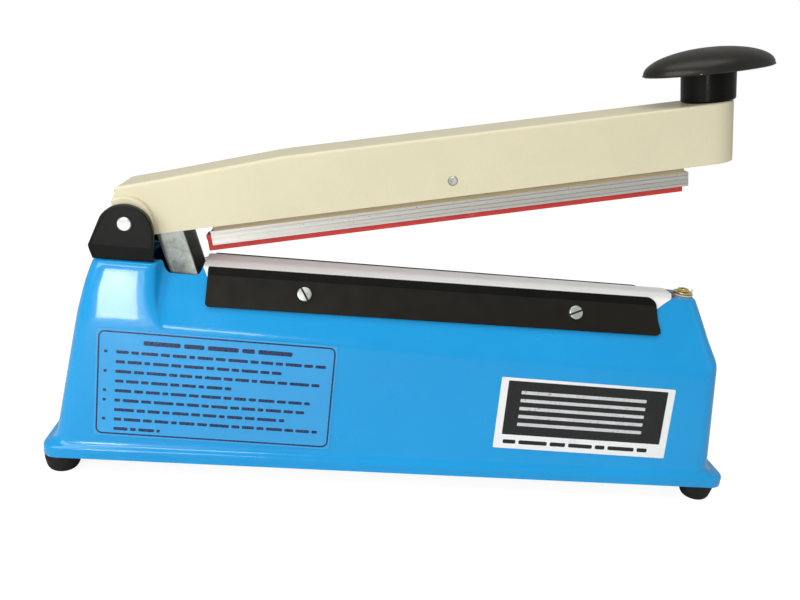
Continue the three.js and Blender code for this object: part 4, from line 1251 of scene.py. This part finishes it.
def roof_place(x, side):
    """A frame on the roof where a clamp screw stands: Z square to the roof."""
    normal = Vector((RIDGE_TAPER, side, ROOF_SPREAD)).normalized()
    turn = Vector((0, 0, 1)).rotation_difference(normal).to_matrix().to_4x4()
    return shift(x, side * roof_half(x, CLAMP_SCREW_Z), CLAMP_SCREW_Z) @ turn


def clamp_screw(place):
    end = place.split("_")[1]
    at = roof_place(CLAMP_SCREWS[end], -1 if place.startswith("front") else 1)
    return piece(f"clamp_fixing_{place}", screw(4.5, 2.4, 2, 8), "base", SLOTTED,
                 f"clamp_screw_{place}", cuts=[slot_cut(7, 2.4, 1.3, 1.2, SLOT_ANGLES[place])],
                 at=at @ shift(0, 0, CLAMP_OUTER + GAP))


def terminal_bush():
    low, high = box_of("terminal_bush")
    section = points((2.4, low.z), (3.9, low.z), (3.9, TOP_Z + GAP), (6.6, TOP_Z + GAP), (6.6, high.z),
                     (2.4, high.z))
    rounded = soften(section, 0.3, 3, closed=True)
    return piece("terminal_collar", lathe(rounded), "base", CERAMIC,
                 "terminal_bush", at=shift(TERMINAL_X, 0, 0))


def terminal_washer():
    """A washer with a tab bent up at its right."""
    low, high = box_of("terminal_washer")
    ring = soften(points((2.4, low.z), (6.2, low.z), (6.2, high.z), (2.4, high.z)), 0.25, 3, closed=True)
    tab = block(5.0, 5.8, -1.4, 1.4, high.z - 0.5, high.z + 2.3, 0.25).moved(
        rotation(-28, "Z"))
    return piece("terminal_tab_washer", lathe(ring), "base", BRASS,
                 "terminal_washer", joined=[tab], at=shift(TERMINAL_X, 0, 0))


def hexagon(radius, turn=0):
    return arc(0, 0, radius, turn, turn + 300, 6)


def terminal_screw():
    low, high = box_of("terminal_screw_right")
    head_z = box_of("terminal_washer")[1].z + GAP
    head = slab(hexagon(4, 12), 0, 1.7, 0.3)
    dome = lathe([(0, 0.4), (2.5, 0.4), (2.5, 1.9), (2.2, 2.1), (0, high.z - head_z)], 32)
    shank = lathe([(0, low.z - head_z), *thread(2, low.z - head_z + 0.2, 0), (2, 0.3), (0, 0.3)], 32)
    return piece("terminal_fixing", head, "base", [BRASS, SLOT_SHADE], "terminal_screw_right",
                 joined=[dome, shank],
                 cuts=[slot_cut(3, high.z - head_z, 0.8, 0.7, 40)],
                 at=shift(TERMINAL_X, 0, head_z))


def terminal_block():
    low, high = box_of("terminal_block_left")
    bore = rod(2.2, -30, 30, 0.01, 24).moved(shift(-120, 0, 108) @ ALONG_X)
    shape = block(low.x, high.x, low.y, high.y, low.z, high.z, 0.6)
    return piece("terminal_block", shape, "base", INSULATOR, "terminal_block_left", cuts=[bore])


insulating_strip()
heating_element()
ptfe_cloth()
for place, side in SIDES:
    clamp_plate(place, side)
for place in SLOT_ANGLES:
    clamp_screw(place)
terminal_bush()
terminal_washer()
terminal_screw()
terminal_block()


# ---- what the arm carries ----

LINK_AT = ARM_PLACE @ shift(30.2, 0, -10.9) @ rotation(-7, "Y")
KNOB_AT = ARM_PLACE @ shift(KNOB_U, 0, 0)
KNOB_FOOT, KNOB_STEM, KNOB_HALF = 44, 16.35, (41, 26)


def link_bracket():
    """A folded channel, open towards the free end of the arm."""
    depth, half, wall = 16.5, 16.2, 2
    corners = points((0, -half), (0, wall - half), (wall - depth, wall - half), (wall - depth, half - wall),
                     (0, half - wall), (0, half), (-depth, half), (-depth, -half))
    section = soften(corners, [0.3, 0.3, 1.6, 1.6, 0.3, 0.3, 3.4, 3.4], 5, closed=True)
    hole = rod(1.6, -40, 0, 0.01, 24).moved(shift(0, 0, -58) @ ALONG_X)
    return piece("link_channel", slab(section, -66, 18, 0.25), "arm", DULL_ZINC, "link_bracket",
                 cuts=[hole], at=LINK_AT)


def knob_stem():
    low, high = ARM_TOP + GAP, KNOB_FOOT
    keys = points((4.5, low), (KNOB_STEM - 0.8, low), (KNOB_STEM, low + 0.8), (KNOB_STEM, high), (4.5, high))
    section = soften(keys, [0.2, 0.3, 0.4, 0.3, 0.2], 4, closed=True)
    return piece("knob_column", lathe(section, 72), "arm", STEM_BLACK,
                 "knob_stem", at=KNOB_AT)


def knob_cap():
    """An oval mushroom cap: a shallow hollow below, a thin rim and a long dome."""
    low = KNOB_FOOT + GAP
    keys = points((0.42, low), (0.8, low + 0.15), (0.965, low + 0.45), (1, low + 1.1), (0.985, low + 2.0))
    rim = soften(keys, [0, 0.05, 0.02, 0.02, 0], 3, between=[3, 2, 1, 1])
    rise = 14.7 - 2.0
    dome = [Vector((0.985 * math.cos(math.radians(a)), low + 2.0 + rise * math.sin(math.radians(a))))
            for a in spread(4, 88, 26)]
    rings = []
    for p in rim + dome:
        rings.append([Vector((KNOB_HALF[0] * p.x * math.cos(a), KNOB_HALF[1] * p.x * math.sin(a), p.y))
                      for a in round_angles(96)])
    return piece("knob_dome", skin(rings), "arm", KNOB_BLACK, "knob_cap",
                 cuts=[rod(BOLT_BORE, low - 3, low + 8, 0.01)], at=KNOB_AT)


def knob_bolt():
    shank = lathe([(0, 20), (3.9, 20), (4, 24), *thread(4, 25, 50, 1.25), (3.6, 51), (0, 51.4)], 40)
    return piece("knob_through_bolt", slab(hexagon(7), 18.7, 23.9, 0.6), "arm", ZINC,
                 "knob_bolt",
                 joined=[shank], at=KNOB_AT)


link_bracket()
knob_stem()
knob_cap()
knob_bolt()
piece("rocker_pin_ends", pin_end(ROCKER_RADIUS, box_of("rocker_pin")[1].y), "arm", ZINC,
      "rocker_pin", at=ARM_PLACE @ shift(ROCKER_U, 0, ROCKER_V))


# ---- the self-aligning press bar ----

BAR_SPAN, BAR_HALF, BAR_LOW, BAR_TOP = (44.7, 347.3), 8.5, -23.9, -15.1
RUBBER_SPAN, RUBBER_LOW = (41, 345.8), -28.5
HOLDER_SPAN, HOLDER_HALF = (47, 344), 10
GROOVE = (5.2, 3.3, -17.4, -21)  # half width, half width of its mouth, roof and floor


def mirrored(half):
    """A closed outline from the half on the +Y side, listed from the bottom up."""
    return half + [Vector((-p.x, p.y)) for p in reversed(half)]


def press_bar():
    """A drawn bar with a T groove below and fine lines along its sides."""
    wide, mouth, roof, ledge = GROOVE
    side = points((mouth, BAR_LOW), (BAR_HALF, BAR_LOW))
    for level in (-22.1, -19.5, -16.9):
        side += points((BAR_HALF, level - 0.22), (BAR_HALF - 0.25, level), (BAR_HALF, level + 0.22))
    side += points((BAR_HALF, BAR_TOP))
    outside = mirrored(side)
    inside = points((-mouth, ledge), (-wide, ledge), (-wide, roof), (wide, roof), (wide, ledge),
                    (mouth, ledge))
    return piece("press_bar_extrusion", extrusion(outside + inside, *BAR_SPAN, 0.12), "press_bar_body",
                 ALUMINIUM, "press_bar", at=ARM_PLACE, sharp=25)


def rubber_strip():
    wide, mouth, roof, ledge = GROOVE
    gap = 0.3
    half = points((mouth - gap, RUBBER_LOW), (mouth - gap, ledge + gap), (wide - gap, ledge + gap),
                  (wide - gap, roof - gap))
    outline = soften(mirrored(half), [0.8, 0, 0.2, 0.3, 0.3, 0.2, 0, 0.8], 4, closed=True)
    return piece("silicone_lip", extrusion(outline, *RUBBER_SPAN, 0.3), "press_bar_body",
                 SILICONE,
                 "rubber_strip", at=ARM_PLACE)


def bar_holder():
    rail = block(*HOLDER_SPAN, -HOLDER_HALF, HOLDER_HALF, BAR_TOP + GAP, -6, 0.5)
    lug = side_slab(rectangle(ROCKER_U - 14, ROCKER_U + 14, -8, 6, 3, 5), -HOLDER_HALF, HOLDER_HALF, 0.5)
    bore = rod(ROCKER_BORE, -30, 30, 0.01, 32).moved(shift(ROCKER_U, 0, ROCKER_V) @ ALONG_Y)
    # the holder takes CREAM_SHADE, the arm's cream with painted shade
    return piece("bar_rail", rail, "press_bar_body", CREAM_SHADE, "bar_holder", joined=[lug],
                 cuts=[bore], at=ARM_PLACE)


press_bar()
rubber_strip()
bar_holder()


# ---- labels ----

LABEL_TILT = math.radians(0.9)
LABEL_FACE = 0.15  # how far the labels' backs are off the wall
LABEL_THICK = 0.2
PRINT = 0.03  # how far the print stands proud
WORDS = (7.5, 4.5, 10, 5.5, 8.5, 3.5, 9.5, 6, 12, 5)


def print_mark(outline, ink):
    """A patch of print: a thin closed form half sunk in the label."""
    rings = [raised(outline, z) for z in (LABEL_THICK - PRINT, LABEL_THICK + PRINT)]
    return skin(rings).inked(ink)


def print_ring(x0, x1, y0, y1, radius, width, ink):
    outer = rectangle(x0, x1, y0, y1, radius)
    inner = inset(outer, width)
    low, high = LABEL_THICK - PRINT, LABEL_THICK + PRINT
    rings = [(outer, low), (outer, high), (inner, high), (inner, low)]
    shape = skin([raised(line, z) for line, z in rings], ends=False, wrap=True)
    return shape.inked(ink)


def blank_words(x0, x1, y, height, ink, first=0, stretch=1.0):
    """A line of blank bars in place of words, between x0 and x1."""
    marks = Shape([], [])
    x, number = x0, first
    while True:
        width = min(WORDS[number % len(WORDS)] * stretch, x1 - x)
        if width < 1.5:
            return marks
        marks += print_mark(rectangle(x, x + width, y - height / 2, y + height / 2, height * 0.3, 3), ink)
        x += width + height * 0.75
        number += 1


def label_place(x, z):
    tilt = Matrix.Rotation(-LABEL_TILT, 4, "Z")
    return front_panel(x, z) @ tilt @ shift(0, 0, LABEL_FACE)


def instruction_label():
    """Five numbered entries as blank bars in a fine frame, on clear film."""
    wide, tall = 145.6, 68.4
    shape = slab(rectangle(0, wide, -tall, 0, 1.5), 0, LABEL_THICK, 0.06)
    shape += print_ring(1.2, wide - 1.2, 1.2 - tall, -1.2, 4, 1.0, 1)
    shape += blank_words(28, 119, -7.6, 2.8, 1, 2, 2.2)
    ends = (139, 112, 136, 82, 131, 128, 116, 138, 40)
    numbered = (0, 2, 4, 5, 7)
    for line, end in enumerate(ends):
        y = -14.2 - 6.15 * line
        shape += blank_words(12, end, y, 2.0, 1, line * 3)
        if line in numbered:
            shape += print_mark(rectangle(5, 6.9, y - 0.9, y + 0.9, 0.4, 3), 1)
    return piece("instruction_film", shape, "base", [FILM, NAVY_INK], "instruction_label",
                 at=label_place(-190.1, 84))


def name_label():
    """A black panel with plain stripes over a line of blank bars, on white film."""
    wide, tall = 116.6, 48
    shape = slab(rectangle(0, wide, -tall, 0, 0.8), 0, LABEL_THICK, 0.06)
    shape += print_mark(rectangle(4.8, 111.8, -38.5, -2, 0.4, 3), 1)
    for number in range(5):
        y = -9.5 - 5.4 * number
        stripe = print_mark(rectangle(14, 98, y - 1.1, y + 1.1, 0.4, 3), 2)
        shape += stripe.shifted(0, 0, PRINT)
    shape += blank_words(6, 104, -43.3, 2.7, 1, 1, 1.9)
    return piece("name_film", shape, "base", [WHITE_FILM, BLACK_INK, GREY_INK], "name_label",
                 at=label_place(61, 68.6))


instruction_label()
name_label()


# ---- rear panel ----

KNOB_PLACE = panel_place("timer_shaft")


def dial_plate():
    """A plate with a scale of strokes round the knob."""
    shape = slab(rectangle(-23, 23, -23, 23, 4), 0.1, 0.7, 0.15)
    hole = rod(SHAFT_BORE, -3, 4, 0.01, 32)
    made = piece("dial_face", shape, "base", ALUMINIUM, "dial_plate", cuts=[hole], at=KNOB_PLACE)
    strokes = Shape([], [])
    for number in range(28):
        long = 20.6 if number % 3 == 0 else 19.2
        stroke = block(-0.25, 0.25, 17.4, long, 0.66, 0.74, 0.03)
        strokes += stroke.moved(rotation(-10 * number, "Z"))
    piece("dial_scale", strokes, "base", BLACK_INK, at=KNOB_PLACE)
    return made


def timer_knob():
    flutes = []
    for a in round_angles(96):
        flutes.append(Vector((math.cos(a), math.sin(a))) * (12.55 - 0.42 * math.cos(12 * a) ** 3))
    grip = slab(flutes, 4, 15, 0.8, 4)
    skirt = lathe([(0, 1.9), (15.8, 1.9), (16, 2.2), (15.5, 4.3), (15.2, 4.6), (0, 4.6)], 72)
    pointer = block(-0.8, 0.8, 12, 15.8, 2.4, 12, 0.3)
    return piece("timer_grip", grip, "timer", MOULDED, "timer_knob", joined=[skirt, pointer],
                 cuts=[rod(3.1, -1, 12, 0.01, 32)], at=KNOB_PLACE)


def turned_piece(name, keys, reach, body, finish, node, at, cuts=()):
    """A turned solid from [radius, z] points that start and end on the axis."""
    section = soften(keys, [0, *[reach] * (len(keys) - 2), 0], 3)
    return piece(name, lathe(section), body, finish, node, cuts=cuts, at=at)


def signal_lamp():
    """A red lens in a black bezel."""
    at = panel_place("signal_lamp")
    bezel = soften(points((4.0, 0.3), (5.6, 0.3), (5.6, 1.4), (4.5, 1.6), (4.0, 1.2)), 0.15, 3, closed=True)
    lens = [(0, -12), (3.9, -12), (3.9, 1.4), (3.7, 2.8), (3.3, 4), (2.5, 5.0), (1.6, 5.6), (0.8, 5.9),
            (0, 6)]
    shape = lathe(lens) + lathe(bezel).inked(1)
    return piece("lamp_and_bezel", shape, "base", [LAMP_RED, MOULDED], "signal_lamp", at=at)


def fuse_holder():
    at = panel_place("fuse_holder")
    keys = [(0, -26), (5.6, -26), (5.6, 0.3), (7.6, 0.3), (7.6, 2.2), (6.2, 2.4), (6.0, 9), (0, 9)]
    return turned_piece("fuse_cap", keys, 0.35, "base", [MOULDED, SLOT_SHADE], "fuse_holder",
                        at,
                        cuts=[slot_cut(7.5, 9, 1.4, 1.4, 20)])


def cord_grommet():
    at = panel_place("cord_grommet")
    keys = points((3.8, -5), (8.4, -5), (8.4, -2.4), (6.1, -2.4), (6.1, 0.3), (8.4, 0.3), (8, 4), (5, 9),
                  (3.8, 9))
    section = soften(keys, [0.4, 0.6, 0.6, 0.2, 0.2, 0.6, 1.4, 0.5, 0.4], 4, closed=True)
    return piece("cord_bush", lathe(section, 56), "base", RUBBER,
                 "cord_grommet", at=at)


dial_plate()
timer_knob()
turned_piece("timer_spindle", [(0, -11.6), (2.8, -11.6), (2.8, 11), (0, 11)], 0.4, "timer",
             STEEL,
             "timer_shaft", KNOB_PLACE)
signal_lamp()
fuse_holder()
cord_grommet()


# ---- inside the body ----

def return_spring():
    """A helix with an eye at each end, between the link and its anchor."""
    low, high = box_of("return_spring")
    wire, middle = 0.6, (low.z + high.z) / 2
    radius, turns, lead = 4.6, 22, 7
    start, end = low.x + lead, high.x - lead
    path = [Vector((low.x + wire, 0, middle)), Vector((low.x + lead / 2, 0, middle))]
    for i in range(turns * 16 + 1):
        a = i / 8 * math.pi
        path.append(Vector((lerp(start, end, i / (turns * 16)), radius * math.sin(a),
                            middle + radius * math.cos(a))))
    path += [Vector((high.x - lead / 2, 0, middle)), Vector((high.x - wire, 0, middle))]
    made = build("coil_spring", tube(through(path, 2), wire, 10))
    dress(made, "base", STEEL, "return_spring")
    made.parent = None
    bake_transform(made)
    return made


def leads():
    """Sleeved leads from the winding to the two terminals."""
    left = [(62, 23, 56.5), (58, 22, 70), (20, 17, 86), (-60, 14, 95), (-104, 8, 99), (-112.5, 3, 104),
            (-113.6, 0, 107)]
    right = [(76, 23, 56.5), (80, 22, 70), (120, 16, 86), (165, 7, 98), (182, 2, 103), (TERMINAL_X, 0, 108)]
    for side, knots in (("left", left), ("right", right)):
        piece(f"sleeved_lead_{side}", tube(through(knots, 10), 1.5, 16), "base", SLEEVE,
              f"lead_{side}")


return_spring()
leads()
for node, finish in (("transformer_core", LAMINATED), ("transformer_coil", COPPER),
                     ("transformer_strap", ZINC),
                     ("transformer_screw_left", ZINC), ("transformer_screw_right", ZINC),
                     ("circuit_board", BOARD), ("potentiometer", STEEL), ("relay", MOULDED),
                     ("buzzer", MOULDED),
                     ("micro_switch", MOULDED), ("switch_bracket", STEEL), ("switch_lever", STEEL),
                     ("spring_anchor", STEEL)):
    keep(node, finish, 0.15 if node == "switch_lever" else 0.3)
